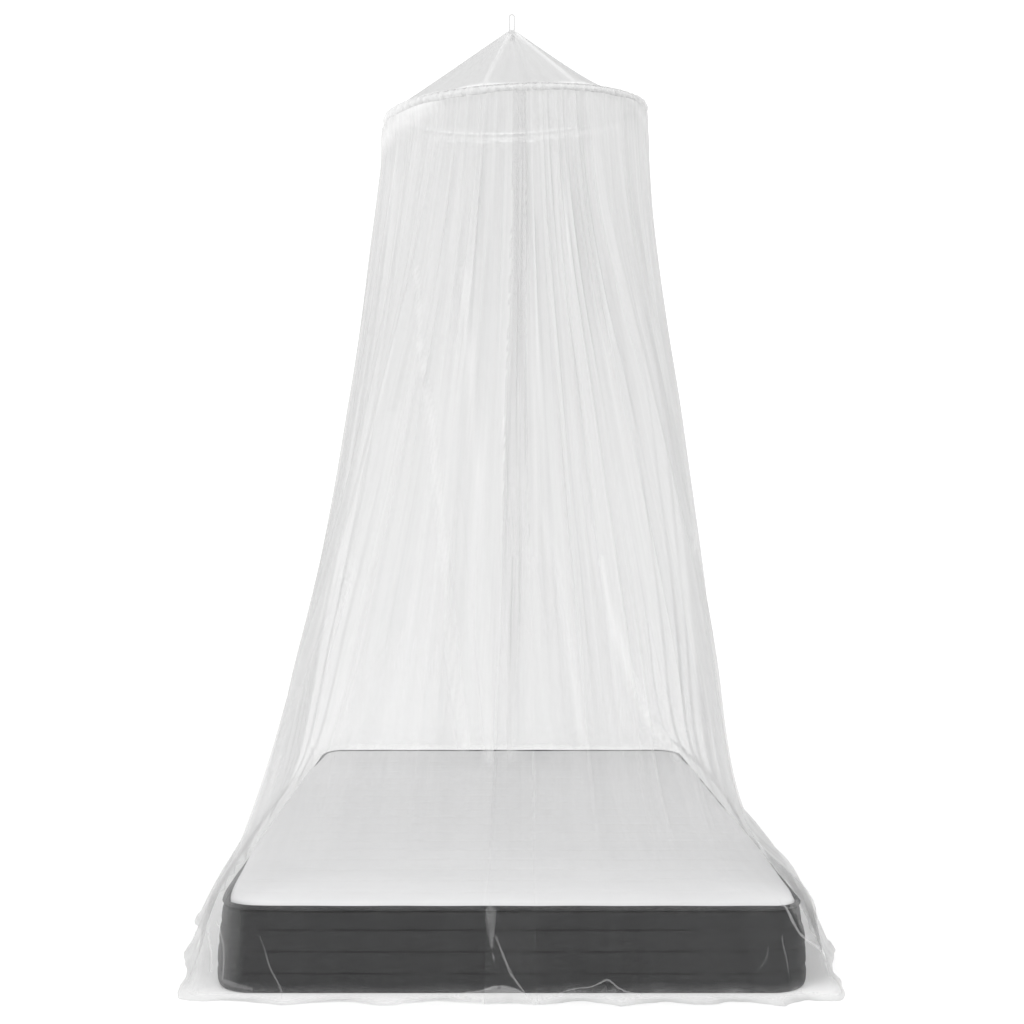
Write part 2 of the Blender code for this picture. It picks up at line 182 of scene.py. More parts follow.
class Flow:
    """A value on its way through a material's nodes, which can be used in sums."""

    def __init__(self, tree, socket):
        self.tree = tree
        self.socket = socket

    def node(self, kind, settings=None, values=None, output=0):
        """The output of a new node, given its settings and its input values by name or number."""
        made = self.tree.nodes.new(kind)
        for name, setting in (settings or {}).items():
            setattr(made, name, setting)
        for name, value in (values or {}).items():
            if isinstance(value, Flow):
                self.tree.links.new(value.socket, made.inputs[name])
            else:
                made.inputs[name].default_value = value
        return Flow(self.tree, made.outputs[output])

    __add__ = operator("ADD")
    __radd__ = operator("ADD", turned=True)
    __sub__ = operator("SUBTRACT")
    __rsub__ = operator("SUBTRACT", turned=True)
    __mul__ = operator("MULTIPLY")
    __rmul__ = operator("MULTIPLY", turned=True)
    __truediv__ = operator("DIVIDE")
    __pow__ = operator("POWER")
    __rpow__ = operator("POWER", turned=True)
    largest = operator("MAXIMUM")
    smallest = operator("MINIMUM")
    back_and_forth = operator("PINGPONG")

    def between(self, low, high):
        """0 at or below low, 1 at or above high and smooth from one to the other."""
        return self.node(
            "ShaderNodeMapRange",
            {"interpolation_type": "SMOOTHSTEP"},
            {0: self, 1: low, 2: high, 3: 0.0, 4: 1.0},
        )

    def to_lines(self, pitch):
        """1 on lines a pitch apart and 0 midway between them."""
        return 1 - self.back_and_forth(pitch / 2) / (pitch / 2)

    def colour(self, low, high):
        """From the colour low where this is 0 to high where it is 1."""
        return self.node(
            "ShaderNodeMix",
            {"data_type": "RGBA"},
            {0: self, 6: (*low, 1), 7: (*high, 1)},
            output=2,
        )


def new_material(name, roughness, sheen=0.0):
    """A new material, its shader node, and its cloth coordinates across and along in metres."""
    made = bpy.data.materials.new(name)
    made.use_nodes = True
    tree = made.node_tree
    shader = tree.nodes["Principled BSDF"]
    shader.inputs["Roughness"].default_value = roughness
    shader.inputs["Specular IOR Level"].default_value = 0.2
    shader.inputs["Sheen Weight"].default_value = sheen
    start = Flow(tree, None)
    flat = start.node("ShaderNodeUVMap", {"uv_map": "flat cloth"})
    across = start.node("ShaderNodeSeparateXYZ", None, {0: flat}, output=0)
    along = start.node("ShaderNodeSeparateXYZ", None, {0: flat}, output=1)
    return made, shader, across, along


def noise(across, along, across_scale, along_scale, detail=2.0):
    """Soft noise over the cloth, from 0 to 1, with its own scale each way."""
    scaled = {0: across * across_scale, 1: along * along_scale}
    place = across.node("ShaderNodeCombineXYZ", None, scaled)
    return across.node(
        "ShaderNodeTexNoise",
        {"noise_dimensions": "2D"},
        {"Vector": place, "Scale": 1.0, "Detail": detail, "Roughness": 0.55},
    )


def into(shader, name, value):
    """Joins a flow to an input of the shader."""
    value.tree.links.new(value.socket, shader.inputs[name])


def bump(shader, height, distance, strength):
    """Raises the shader's surface by a height from 0 to 1 times distance."""
    values = {"Strength": strength, "Distance": distance, "Height": height}
    into(shader, "Normal", height.node("ShaderNodeBump", None, values))


def eased(share):
    """A share kept from 0 to 1, with a soft start and a soft end."""
    share = min(1, max(0, share))
    return share * share * (3 - 2 * share)


def swelled(height, way):
    """How far the side stands out at a height: the foam under it is a little wider low down."""
    left = (1 - SWELL_AT_LEFT) * max(0, -way.x)
    right = (1 - SWELL_AT_RIGHT) * max(0, way.x)
    return BORDER_SWELL * (1 - left - right) * eased((SWELL_HEIGHT - height) / SWELL_FADE)


def drawn_in(place):
    """How far a point at the top of the mattress is drawn in, near its front left corner."""
    away = (Vector((place.x, place.y)) + Vector((MATTRESS_WIDTH, MATTRESS_LENGTH)) / 2).length
    return CORNER_DRAWN * math.exp(-((away / CORNER_DRAWN_SPREAD) ** 2))


border_cloth, shader, across, along = new_material("dark knitted border cloth", 0.92, sheen=0.15)
ribs = (across.to_lines(0.0016) * along.to_lines(0.0020)).between(0.1, 0.8)
blotch = noise(across, along, 9.0, 30.0, 4.0)
thread = noise(across, along, 900.0, 900.0, 1.0)
dashes = noise(across, along, 7.0, 3.0, 1.0).between(0.40, 0.52)
# Dark stitch lines: partly the stitching itself, partly painted shade in the grooves the stitches
# sink into.
stitches_and_groove_shade = None
for height in STITCH_LINES:
    line = 1 - ((along - height) * (along - height)).between(0.0, STITCH_AND_SHADE_WIDTH**2)
    stitches_and_groove_shade = line if stitches_and_groove_shade is None else stitches_and_groove_shade.largest(line)
# Painted shadow: a dark band at the top of the side, just under the corded edge, where its shade
# falls.
seam = along.between(0.1570, 0.1600)
# Here it holds only the cloth's own tone: blotches, threads and ribs.
cloth_tone_and_painted_light = 0.60 + 0.30 * blotch + 0.25 * thread - 0.15 * ribs
shade = cloth_tone_and_painted_light * (1 - 0.6 * stitches_and_groove_shade * dashes) * (1 - 0.8 * seam)
into(shader, "Base Color", shade.colour((0.0, 0.0, 0.0), (0.0275, 0.0275, 0.0285)))
bump(shader, ribs, 0.0003, 0.25)


def border_inset(height, share):
    """How far the border's cloth is drawn in at a height, a share of the way round."""
    rolled = FLOOR_ROLL[0] * math.exp(-height / FLOOR_ROLL[1])
    drawn = EDGE_ROLL[0] * math.exp(-(BORDER_HEIGHT - height) / EDGE_ROLL[1])
    pucker = 1.0
    for count, depth, shift in PUCKERS:
        pucker += depth * math.sin(2 * math.pi * count * share + shift)
    held = sum(math.exp(-(((height - line) / STITCH_SPREAD) ** 2)) for line in STITCH_LINES)
    wave = math.sin(2 * math.pi * (5 * share + 9 * height))
    slack = SLACK_DEPTH * wave * math.sin(math.pi * height / BORDER_HEIGHT)
    return rolled + drawn + STITCH_DEPTH * held * pucker + slack + BORDER_EASE


straight_outline = mattress_outline(0)
border_ways = outline_normals(straight_outline)
border_columns = len(straight_outline)


def border_place(column, row):
    height = BORDER_HEIGHT * row / BORDER_ROWS
    inset = border_inset(height, column / border_columns) - swelled(height, border_ways[column])
    place = straight_outline[column] - border_ways[column] * inset
    top_share = (height / BORDER_HEIGHT - CORNER_DRAWN_FROM) / (1 - CORNER_DRAWN_FROM)
    place += drawn_in(place) * eased(top_share)
    return Vector((place.x, place.y, height))


border_flat = (BORDER_ROUND, BORDER_HEIGHT)
border = sheet_mesh(border_columns, BORDER_ROWS, border_place, border_flat, closed=True)
close_up(border)
border_piece = add_piece("mattress_side", border, border_cloth, "border_cloth", "mattress_border")
border_piece.data.set_sharp_from_angle(angle=math.radians(50))


# ---- Corded edge of the mattress ----
# A round cord covered in a lighter grey strip, sewn on where the side meets the top. It rises
# a little at the back, and the strip isn't quite even round it.
PIPING_RADIUS = 0.0047
PIPING_INSET = 0.0050
PIPING_HEIGHT = 0.1673
PIPING_BACK_RISE = 0.0035
PIPING_SIDES = 14
PIPING_LUMPS = 37
PIPING_LUMP_SHARE = 0.05

piping_cloth, shader, across, along = new_material("grey corded edge", 0.9, sheen=0.1)
weave = across.to_lines(0.0022) * along.to_lines(0.0022)
fade = noise(across, along, 5.0, 30.0)
shade = 0.3 * weave + 0.7 * fade
into(shader, "Base Color", shade.colour((0.024, 0.024, 0.025), (0.040, 0.040, 0.041)))
bump(shader, weave, 0.0004, 0.5)

piping_route = mattress_outline(PIPING_INSET)
piping_ways = outline_normals(piping_route)


def piping_place(column, row):
    angle = 2 * math.pi * row / PIPING_SIDES
    lump = PIPING_LUMP_SHARE * math.sin(2 * math.pi * PIPING_LUMPS * column / border_columns)
    across = piping_ways[column] * math.cos(angle) + Vector((0, 0, math.sin(angle)))
    rise = PIPING_BACK_RISE * max(0, piping_ways[column].y) ** 2
    route = piping_route[column]
    middle = route + drawn_in(route) + Vector((0, 0, PIPING_HEIGHT + rise))
    return middle + PIPING_RADIUS * (1 + lump) * across


piping = sheet_mesh(border_columns, PIPING_SIDES, piping_place, (BORDER_ROUND, 0.04), True, True)
close_up(piping)
add_piece("mattress_corded_edge", piping, piping_cloth, "piping", "mattress_piping")


# ---- Top of the mattress ----
# A pale quilted panel, sewn across in shallow lines and crowned a little, which drops to the
# corded edge all round. Along the two long sides it rolls over most of the cord.
TOP_INSET = 0.0130
TOP_SEAM_HEIGHT = 0.1584
TOP_ROUND_HEIGHT = 0.1670
TOP_ACROSS = 200
TOP_ALONG = 260
QUILT_PITCH = 0.096
QUILT_DEPTH = 0.0016
QUILT_SHARPNESS = 24
# The panel's two rises from its edge and its two slow waves: their heights, and over what
# distance or how fast across and along they run.
PANEL_RISES = ((0.0075, 0.006), (0.0048, 0.06))
PANEL_WAVES = ((0.0004, 9, 5), (0.0003, 23, -17))
WAVES_FROM_EDGE = 0.03
# How far its corner at the front left is drawn in, and how far it rolls over the cord at places
# along its length.
CORNER_PULL = Vector((0.0145, 0.015))
CORNER_PULL_SPREAD = 0.09
ROLL_REACH = 0.010
ROLL_LIFT = 0.55
ROLL_PLACES = (-1.00, -0.95, -0.86, -0.50, -0.10, 0.00, 0.45, 0.55, 1.00)
LEFT_ROLLS = (0.0, 0.0, 0.0, 0.0120, 0.0130, 0.0130, 0.0130, 0.0130, 0.0)
RIGHT_ROLLS = (0.0, 0.0000, 0.0065, 0.0110, 0.0120, 0.0085, 0.0085, 0.0125, 0.0)

top_cloth, shader, across, along = new_material("pale quilted top cloth", 0.95, sheen=0.1)
sewn = along.to_lines(QUILT_PITCH).between(0.955, 1.0)
gaps = noise(across, along, 2.6, 1.6, 2.0).between(0.42, 0.62)
knit = across.to_lines(0.0030) * along.to_lines(0.0036)
cloud = noise(across, along, 3.0, 5.0, 4.0)
# Painted light and shade: the panel is painted lighter from just behind its front edge to about its
# middle, then darker towards the back and darker towards the right.
cloth_tone_and_painted_light = 0.13 * along.between(0.1, 0.9) - 0.085 * along.between(1.2, 1.9) - 0.05 * along
cloth_tone_and_painted_light = cloth_tone_and_painted_light - 0.065 * across * (0.6 + 0.4 * along)
shade = 0.945 + cloth_tone_and_painted_light + 0.10 * cloud - 0.10 * sewn * gaps - 0.05 * knit
into(shader, "Base Color", shade.colour((0.0, 0.0, 0.0), (0.73, 0.73, 0.735)))
bump(shader, knit, 0.0005, 0.3)


def top_place(column, row):
    """A square grid bent to the rounded outline, then raised by its distance from the edge."""
    half = Vector((MATTRESS_WIDTH / 2 - TOP_INSET, MATTRESS_LENGTH / 2 - TOP_INSET))
    radius = CORNER_RADIUS - TOP_INSET
    flat = Vector(((2 * column / TOP_ACROSS - 1) * half.x, (2 * row / TOP_ALONG - 1) * half.y))
    past = Vector((max(0, abs(flat.x) - half.x + radius), max(0, abs(flat.y) - half.y + radius)))
    if past.length > 0:
        pulled = past * (max(past) / past.length)
        flat.x -= math.copysign(past.x - pulled.x, flat.x)
        flat.y -= math.copysign(past.y - pulled.y, flat.y)
        past = pulled
    edge = min(half.x - abs(flat.x), half.y - abs(flat.y))
    edge = min(edge, radius - past.length) if min(past) > 0 else edge
    risen = sum(rise * (1 - math.exp(-edge / reach)) for rise, reach in PANEL_RISES)
    sewn = abs(math.cos(math.pi * (flat.y + MATTRESS_LENGTH / 2) / QUILT_PITCH)) ** QUILT_SHARPNESS
    wave = sum(depth * math.sin(x * flat.x + y * flat.y) for depth, x, y in PANEL_WAVES)
    inside = 1 - math.exp(-edge / WAVES_FROM_EDGE)
    height = TOP_ROUND_HEIGHT + risen + (wave - QUILT_DEPTH * sewn) * inside
    roll = np.interp(flat.y, ROLL_PLACES, LEFT_ROLLS if flat.x < 0 else RIGHT_ROLLS)
    near = math.exp(-(half.x - abs(flat.x)) / ROLL_REACH)
    flat.x += math.copysign(roll * near, flat.x)
    from_corner = flat + half
    flat += CORNER_PULL * math.exp(-((from_corner.length / CORNER_PULL_SPREAD) ** 2))
    return Vector((flat.x, flat.y, height + ROLL_LIFT * roll * near))


top = sheet_mesh(TOP_ACROSS, TOP_ALONG, top_place, (MATTRESS_WIDTH, MATTRESS_LENGTH))
rim = [edge for edge in top.edges if edge.is_boundary]
dropped = bmesh.ops.extrude_edge_only(top, edges=rim)["geom"]
for vertex in (part for part in dropped if isinstance(part, bmesh.types.BMVert)):
    vertex.co.z = TOP_SEAM_HEIGHT
close_up(top)
top_piece = add_piece("mattress_top_panel", top, top_cloth, "top_cloth", "mattress_top")
top_piece.data.set_sharp_from_angle(angle=math.radians(50))


# ---- Hoop ----
# A ring of thin white plastic rod inside the sleeve, bent round from one length. It hangs a
# little lower at the front and at the left.
HOOP_RADIUS = 0.334
HOOP_ROD_RADIUS = 0.004
HOOP_CENTRE = Vector((0.032, 0.0, 2.056))
HOOP_BACK_RISE = 0.028
HOOP_RIGHT_RISE = 0.014
HOOP_STEPS = 240
HOOP_SIDES = 12
HOOP_FLAT = (2.1, 0.025)

rod, shader, across, along = new_material("white plastic rod", 0.45)
marks = noise(across, along, 30.0, 200.0, 3.0)
into(shader, "Base Color", marks.colour((0.88, 0.88, 0.88), (0.94, 0.94, 0.94)))


def outward(turn):
    """The level direction that points away from the middle at this turn."""
    angle = 2 * math.pi * turn
    return Vector((math.sin(angle), -math.cos(angle), 0))


def hoop_point(turn):
    """The middle of the hoop's rod at this turn."""
    way = outward(turn)
    rise = Vector((0, 0, HOOP_BACK_RISE * way.y + HOOP_RIGHT_RISE * way.x))
    return HOOP_CENTRE + HOOP_RADIUS * way + rise


def hoop_place(column, row):
    turn = column / HOOP_STEPS
    angle = 2 * math.pi * row / HOOP_SIDES
    across = outward(turn) * math.cos(angle) + Vector((0, 0, math.sin(angle)))
    return hoop_point(turn) + HOOP_ROD_RADIUS * across


hoop = sheet_mesh(HOOP_STEPS, HOOP_SIDES, hoop_place, HOOP_FLAT, True, True)
close_up(hoop)
add_piece("hoop_rod", hoop, rod, "rod", "hoop")


# ---- Sleeve round the hoop ----
# A strip of the same net, sewn to a tube and bunched up along the hoop, so that it stands in
# small ruffles. It is fullest at the left, and it is painted whiter than the net, painted light
# on its many layers, most at the back, at the left and on its ruffles.
SLEEVE_RADIUS = 0.012
SLEEVE_WRINKLE = 0.0006
SLEEVE_WRINKLE_COUNTS = (11, 17)
SLEEVE_SLIT = math.radians(40)
SLEEVE_STEPS = 720
SLEEVE_SIDES = 30
SLEEVE_FLAT = (2.7, 0.09)
SLEEVE_FULLNESS = 3.2
SLEEVE_FULLER = 420
SLEEVE_LOOSE = 0.0021
SLEEVE_LOOSER = 0.25
SLEEVE_PAINTED_LIGHT = 0.24
PAINTED_LIGHT_AT_LEFT = 0.25
PAINTED_LIGHT_AT_BACK = 0.76
PAINTED_LIGHT_ON_RUFFLES = 0.12
HOOP_PLAY = 0.0008
NET_THICKNESS = 0.0016
NET_PITCH = 0.0016
NET_SLANT = 0.62
NET_THREAD_SHARE = 0.33
NET_EVEN_SHARE = 0.45
EDGE_PAINTED_LIGHT = 0.35

Swell = namedtuple("Swell", "turn spread amount")
SLEEVE_SWELLS = (
    Swell(0.78, 0.13, 0.010),
    Swell(0.24, 0.07, 0.006),
)

# The ruffles: how many go round, how far each leans, its sway, how many sways, and its share.
Ruffle = namedtuple("Ruffle", "count lean sway sways share")
RUFFLES = (
    Ruffle(83, 3, 1.3, 9, 0.6),
    Ruffle(131, -4, 1.7, 13, 0.4),
)


def new_net(name, opacity, grey, white, edges=()):
    """Sheer net: its threads let less through where more of the cloth is gathered."""
    made, shader, across, along = new_material(name, 0.9)
    slant = NET_SLANT * along
    threads = (across + slant).to_lines(NET_PITCH).largest((across - slant).to_lines(NET_PITCH))
    threads = NET_EVEN_SHARE + (1 - NET_EVEN_SHARE) * threads**4 / NET_THREAD_SHARE
    fullness = across.node("ShaderNodeAttribute", {"attribute_name": "fullness"}, output=2)
    whiteness = across.node("ShaderNodeAttribute", {"attribute_name": "whiteness"}, output=2)
    for number, edge in enumerate(edges):
        off = across.node("ShaderNodeAttribute", {"attribute_name": "edge %d" % number}, output=2)
        line = 1 - (off * off).between(0.3, 1.6)
        fullness = fullness + edge.fullness * line
        # Painted light along each doubled edge.
        whiteness = whiteness.largest(EDGE_PAINTED_LIGHT * line)
    streaks = noise(across, along, 34.0, 0.55, 3.0)
    gathered = fullness * (0.75 + 0.5 * streaks)
    past_first = (1 - opacity * threads).largest(0.05) ** gathered.smallest(1.0)
    past_rest = (1 - opacity) ** (gathered - 1).largest(0.0)
    into(shader, "Alpha", 1 - past_first * past_rest)
    # Painted light and shade: the net is white cloth throughout; its colour runs from grey, painted
    # shade, to white, painted light, by the painted value at each vertex.
    into(shader, "Base Color", whiteness.colour((grey,) * 3, (white,) * 3))
    return made


sleeve_net = new_net("white net, bunched", 0.20, 0.59, 0.96)


def swell(turn, middle, spread):
    """1 at the middle turn, falling away to 0 on both sides."""
    away = (turn - middle + 0.5) % 1 - 0.5
    return math.exp(-((away / spread) ** 2))


def sleeve_radius(turn):
    full = sum(each.amount * swell(turn, each.turn, each.spread) for each in SLEEVE_SWELLS)
    wrinkles = sum(math.sin(2 * math.pi * count * turn) for count in SLEEVE_WRINKLE_COUNTS)
    return SLEEVE_RADIUS + full + SLEEVE_WRINKLE * wrinkles


def sleeve_point(turn, angle, beyond=0.0):
    """A point of the sleeve's cloth, angle up from level; beyond is how far outside it."""
    radius = sleeve_radius(turn)
    hung = radius - HOOP_ROD_RADIUS - NET_THICKNESS / 2 - HOOP_PLAY
    middle = hoop_point(turn) - Vector((0, 0, hung))
    across = outward(turn) * math.cos(angle) + Vector((0, 0, math.sin(angle)))
    return middle + (radius + beyond) * across


def ruffle(turn, angle):
    """How far the bunched cloth stands in or out at a point, from about -1 to 1."""
    bend = 0.25 * math.sin(2 * angle + 12 * math.pi * turn)
    stands = 0.0
    for each in RUFFLES:
        sway = each.sway * math.sin(2 * math.pi * each.sways * turn)
        stands += each.share * math.sin(2 * math.pi * each.count * turn + each.lean * bend + sway)
    return stands


def sleeve_place(column, row):
    turn = column / SLEEVE_STEPS
    angle = -math.pi / 2 + SLEEVE_SLIT / 2 + (2 * math.pi - SLEEVE_SLIT) * row / SLEEVE_SIDES
    loose = SLEEVE_LOOSE + SLEEVE_LOOSER * (sleeve_radius(turn) - SLEEVE_RADIUS)
    return sleeve_point(turn, angle, loose * ruffle(turn, angle))


def paint(shape, name, value_of):
    """Gives each vertex of the cloth a number, worked out from its flat place."""
    layer = shape.verts.layers.float.new(name)
    uv = shape.loops.layers.uv["flat cloth"]
    for vertex in shape.verts:
        vertex[layer] = value_of(*vertex.link_loops[0][uv].uv)


def sleeve_fullness(across, along):
    turn = across / SLEEVE_FLAT[0]
    return SLEEVE_FULLNESS + SLEEVE_FULLER * (sleeve_radius(turn) - SLEEVE_RADIUS)


def sleeve_painted_light(across, along):
    # Painted light: whiter at the left, at the back and on the ruffles that stand out.
    turn = across / SLEEVE_FLAT[0]
    left = PAINTED_LIGHT_AT_LEFT * max(0, -outward(turn).x)
    back = PAINTED_LIGHT_AT_BACK * max(0, outward(turn).y)
    return SLEEVE_PAINTED_LIGHT + left + back + PAINTED_LIGHT_ON_RUFFLES * ruffle(turn, 0)


sleeve = sheet_mesh(SLEEVE_STEPS, SLEEVE_SIDES, sleeve_place, SLEEVE_FLAT, closed=True)
paint(sleeve, "fullness", sleeve_fullness)
paint(sleeve, "whiteness", sleeve_painted_light)
sleeve_piece = add_piece("bunched_sleeve", sleeve, sleeve_net, "net", "hoop_sleeve")


# ---- Wall of the net ----
# One wide length of net, gathered on to the sleeve and let fall, its two ends lapping at the
# front as the way in. It hangs in uneven folds that run from the seam to the hem, spreads over
# the edges of the mattress and pools a little on the floor.
SEAM_GAP = 0.0005
EDGE_CLEARANCE = 0.0057
DROP_RADIUS = 0.350
DROP_TOP = 2.015
BELLY_SHARE = 0.5
TURN_STEP = 0.002
WALL_SEAM_ANGLE = math.radians(-30)
LAP_STEP = 0.007
LAP_RAMP_FOLDS = 4
HEM_RISE = 0.012
FLOOR_ROWS = 2
WALL_FLAT = (7.0, 2.15)
WALL_ACROSS = 640
WALL_ALONG = 146
ROW_LEAST = 0.030
NET_FLOOR = 0.0008
NET_BORDER_GAP = 0.003
NET_BORDER_HEIGHT = 0.19
NET_SWELL_HEIGHTS = (0.085, 0.155)

Section = namedtuple("Section", "height left right squareness bulge side end depth")
SECTIONS = (
    Section(1.930, 0.010, 0, 16, 0, 0, 0, 0.008),
    Section(1.740, 0.075, 0.045, 16, 0, 0, 0, 0.012),
    Section(1.510, 0.165, 0.150, 16, 0, 0, 0, 0.016),
    Section(1.270, 0.285, 0.285, 16, 0, 0, 0, 0.018),
    Section(1.030, 0.405, 0.400, 16, 0, 0, 0, 0.021),
    Section(0.810, 0.540, 0.505, 16, 0, 0, 0, 0.023),
    Section(0.610, 0.670, 0.585, 16, 0, 0, 0, 0.025),
    Section(0.450, 0.765, 0.640, 16, 0, 0, 0, 0.025),
    Section(0.330, 0.850, 0.710, 16, 0, 0, 0, 0.023),
    Section(0.250, 0.915, 0.800, 18, 0.005, 0, 0, 0.020),
    Section(0.185, 1.000, 1.000, 22, 0.012, 0, 0, 0.016),
    Section(0.120, 1.000, 1.000, 20, 0.050, 0.010, 0.010, 0.019),
    Section(0.060, 1.000, 1.000, 16, 0.075, 0.020, 0.020, 0.021),
    Section(0.020, 1.000, 1.000, 18, 0.085, 0.030, 0.030, 0.022),
    Section(0, 1.000, 1.000, 22, 0.082, 0.036, 0.038, 0.024),
    Section(0, 1.000, 1.000, 22, 0.072, 0.045, 0.052, 0.028),
)
Fold = namedtuple("Fold", "top hem depth pinch rise")
FOLDS = (
    Fold(-0.006, -0.008, 0.7, 0.50, 0.80),
    Fold(0.006, 0.008, 0.8, 0.50, 0.10),
    Fold(0.026, 0.033, 1.1, 0.40, 0.25),
    Fold(0.044, 0.055, 0.8, 0.50, 0.10),
    Fold(0.066, 0.074, 1.2, 0.35, 0.00),
    Fold(0.092, 0.0875, 1.2, 0.50, 0.30),
    Fold(0.128, 0.118, 1.2, 0.45, 0.10),
    Fold(0.160, 0.152, 0.8, 0.50, 0.35),
    Fold(0.196, 0.190, 1.3, 0.40, 0.05),
    Fold(0.238, 0.236, 0.9, 0.55, 0.25),
    Fold(0.270, 0.272, 1.1, 0.40, 0.10),
    Fold(0.306, 0.312, 0.8, 0.50, 0.30),
    Fold(0.344, 0.350, 1.2, 0.45, 0.10),
    Fold(0.380, 0.384, 0.9, 0.50, 0.20),
    Fold(0.412, 0.410, 1.2, 0.38, 0.10),
    Fold(0.440, 0.436, 0.8, 0.50, 0.30),
    Fold(0.478, 0.462, 1.1, 0.42, 0.10),
    Fold(0.512, 0.498, 0.9, 0.50, 0.20),
    Fold(0.546, 0.530, 1.2, 0.40, 0.15),
    Fold(0.584, 0.572, 0.9, 0.50, 0.30),
    Fold(0.612, 0.604, 1.1, 0.42, 0.10),
    Fold(0.652, 0.648, 0.8, 0.50, 0.30),
    Fold(0.690, 0.694, 1.2, 0.40, 0.05),
    Fold(0.728, 0.738, 0.9, 0.50, 0.25),
    Fold(0.762, 0.772, 1.1, 0.45, 0.10),
    Fold(0.800, 0.814, 0.8, 0.50, 0.30),
    Fold(0.838, 0.852, 1.2, 0.40, 0.10),
    Fold(0.872, 0.884, 0.9, 0.50, 0.20),
    Fold(0.906, 0.912, 1.0, 0.38, 0.05),
    Fold(0.932, 0.936, 0.9, 0.45, 0.20),
    Fold(0.960, 0.964, 1.1, 0.40, 0.10),
)
WALL_COLUMNS = 4 * (len(FOLDS) + 1)

# The small gathers between the main folds: how many go round, how they wander across and
# along, and their share of the depth.
Gather = namedtuple("Gather", "count sway drift share")
GATHERS = (
    Gather(71, 0.45, 0.9, 0.50),
    Gather(113, 0.40, -1.6, 0.32),
    Gather(167, 0.35, 2.3, 0.18),
)
GATHER_HEIGHTS = (0.00, 0.06, 0.15, 0.19, 0.30, 0.70, 1.20, 1.70, 1.95, 2.05)
GATHER_DEPTHS = (0.0030, 0.0040, 0.0030, 0.0020, 0.0040, 0.0055, 0.0050, 0.0040, 0.0022, 0.0012)

# How full the net hangs at a height, at the front, at the back and over the two sides, and how
# much fuller than that at a turn, from the back round the left, the front and the right, and how
# much painted light it gets there, most at the left.
FULL_HEIGHTS = (0.000, 0.010, 0.030, 0.165, 0.200, 0.300, 0.500, 0.800, 1.200, 1.700, 1.860, 2.050)
FULL_AT_FRONT = (9.0, 1.0, 0.22, 0.20, 0.80, 1.7, 3.0, 5.3, 6.9, 8.8, 8.0, 7.5)
FULL_AT_BACK = (9.0, 3.0, 2.0, 2.0, 4.5, 5.2, 5.6, 6.0, 7.0, 9.0, 9.5, 10.0)
FULL_AT_SIDES = (9.0, 5.0, 4.8, 4.6, 4.8, 5.0, 5.5, 6.2, 7.2, 9.0, 9.0, 9.0)
END_TURNS = (-0.430, -0.410, -0.094, -0.077, 0.087, 0.096, 0.410, 0.430)
END_SHARES = (1.0, 0.0, 0.0, 1.0, 1.0, 0.0, 0.0, 1.0)
SPREAD_TURNS = (-0.50, -0.30, -0.22, -0.16, -0.10, -0.03, 0.00, 0.035, 0.05, 0.10, 0.15, 0.25, 0.50)
SPREAD_SHARES = (1.00, 1.00, 0.95, 0.95, 0.95, 0.94, 0.96, 0.97, 1.15, 1.30, 1.20, 1.10, 1.00)
SPREAD_PAINTED_LIGHT = (0.02, 0.06, 0.08, 0.05, 0.03, 0.04, 0.04, 0.03, 0.00, 0.00, 0.00, 0.02, 0.02)
PAINTED_LIGHT_HEIGHTS = (0.010, 0.190, 0.400, 0.700)
PAINTED_LIGHT_LOW_DOWN = (0.05, 0.08, 0.06, 0.00)
PAINTED_LIGHT_ON_THE_FLOOR = 0.06
POOL_HEIGHT = 0.012
PAINTED_LIGHT_STREAKS = ((37, 0.5), (59, -0.4), (91, 0.8), (143, -0.7))
PAINTED_LIGHT_ON_STREAKS = 0.06
LAP_THINNING = 0.43
THIN_BY_BUNCHING = 0.3
THIN_BY_FACING = 0.35
END_FALL = 40
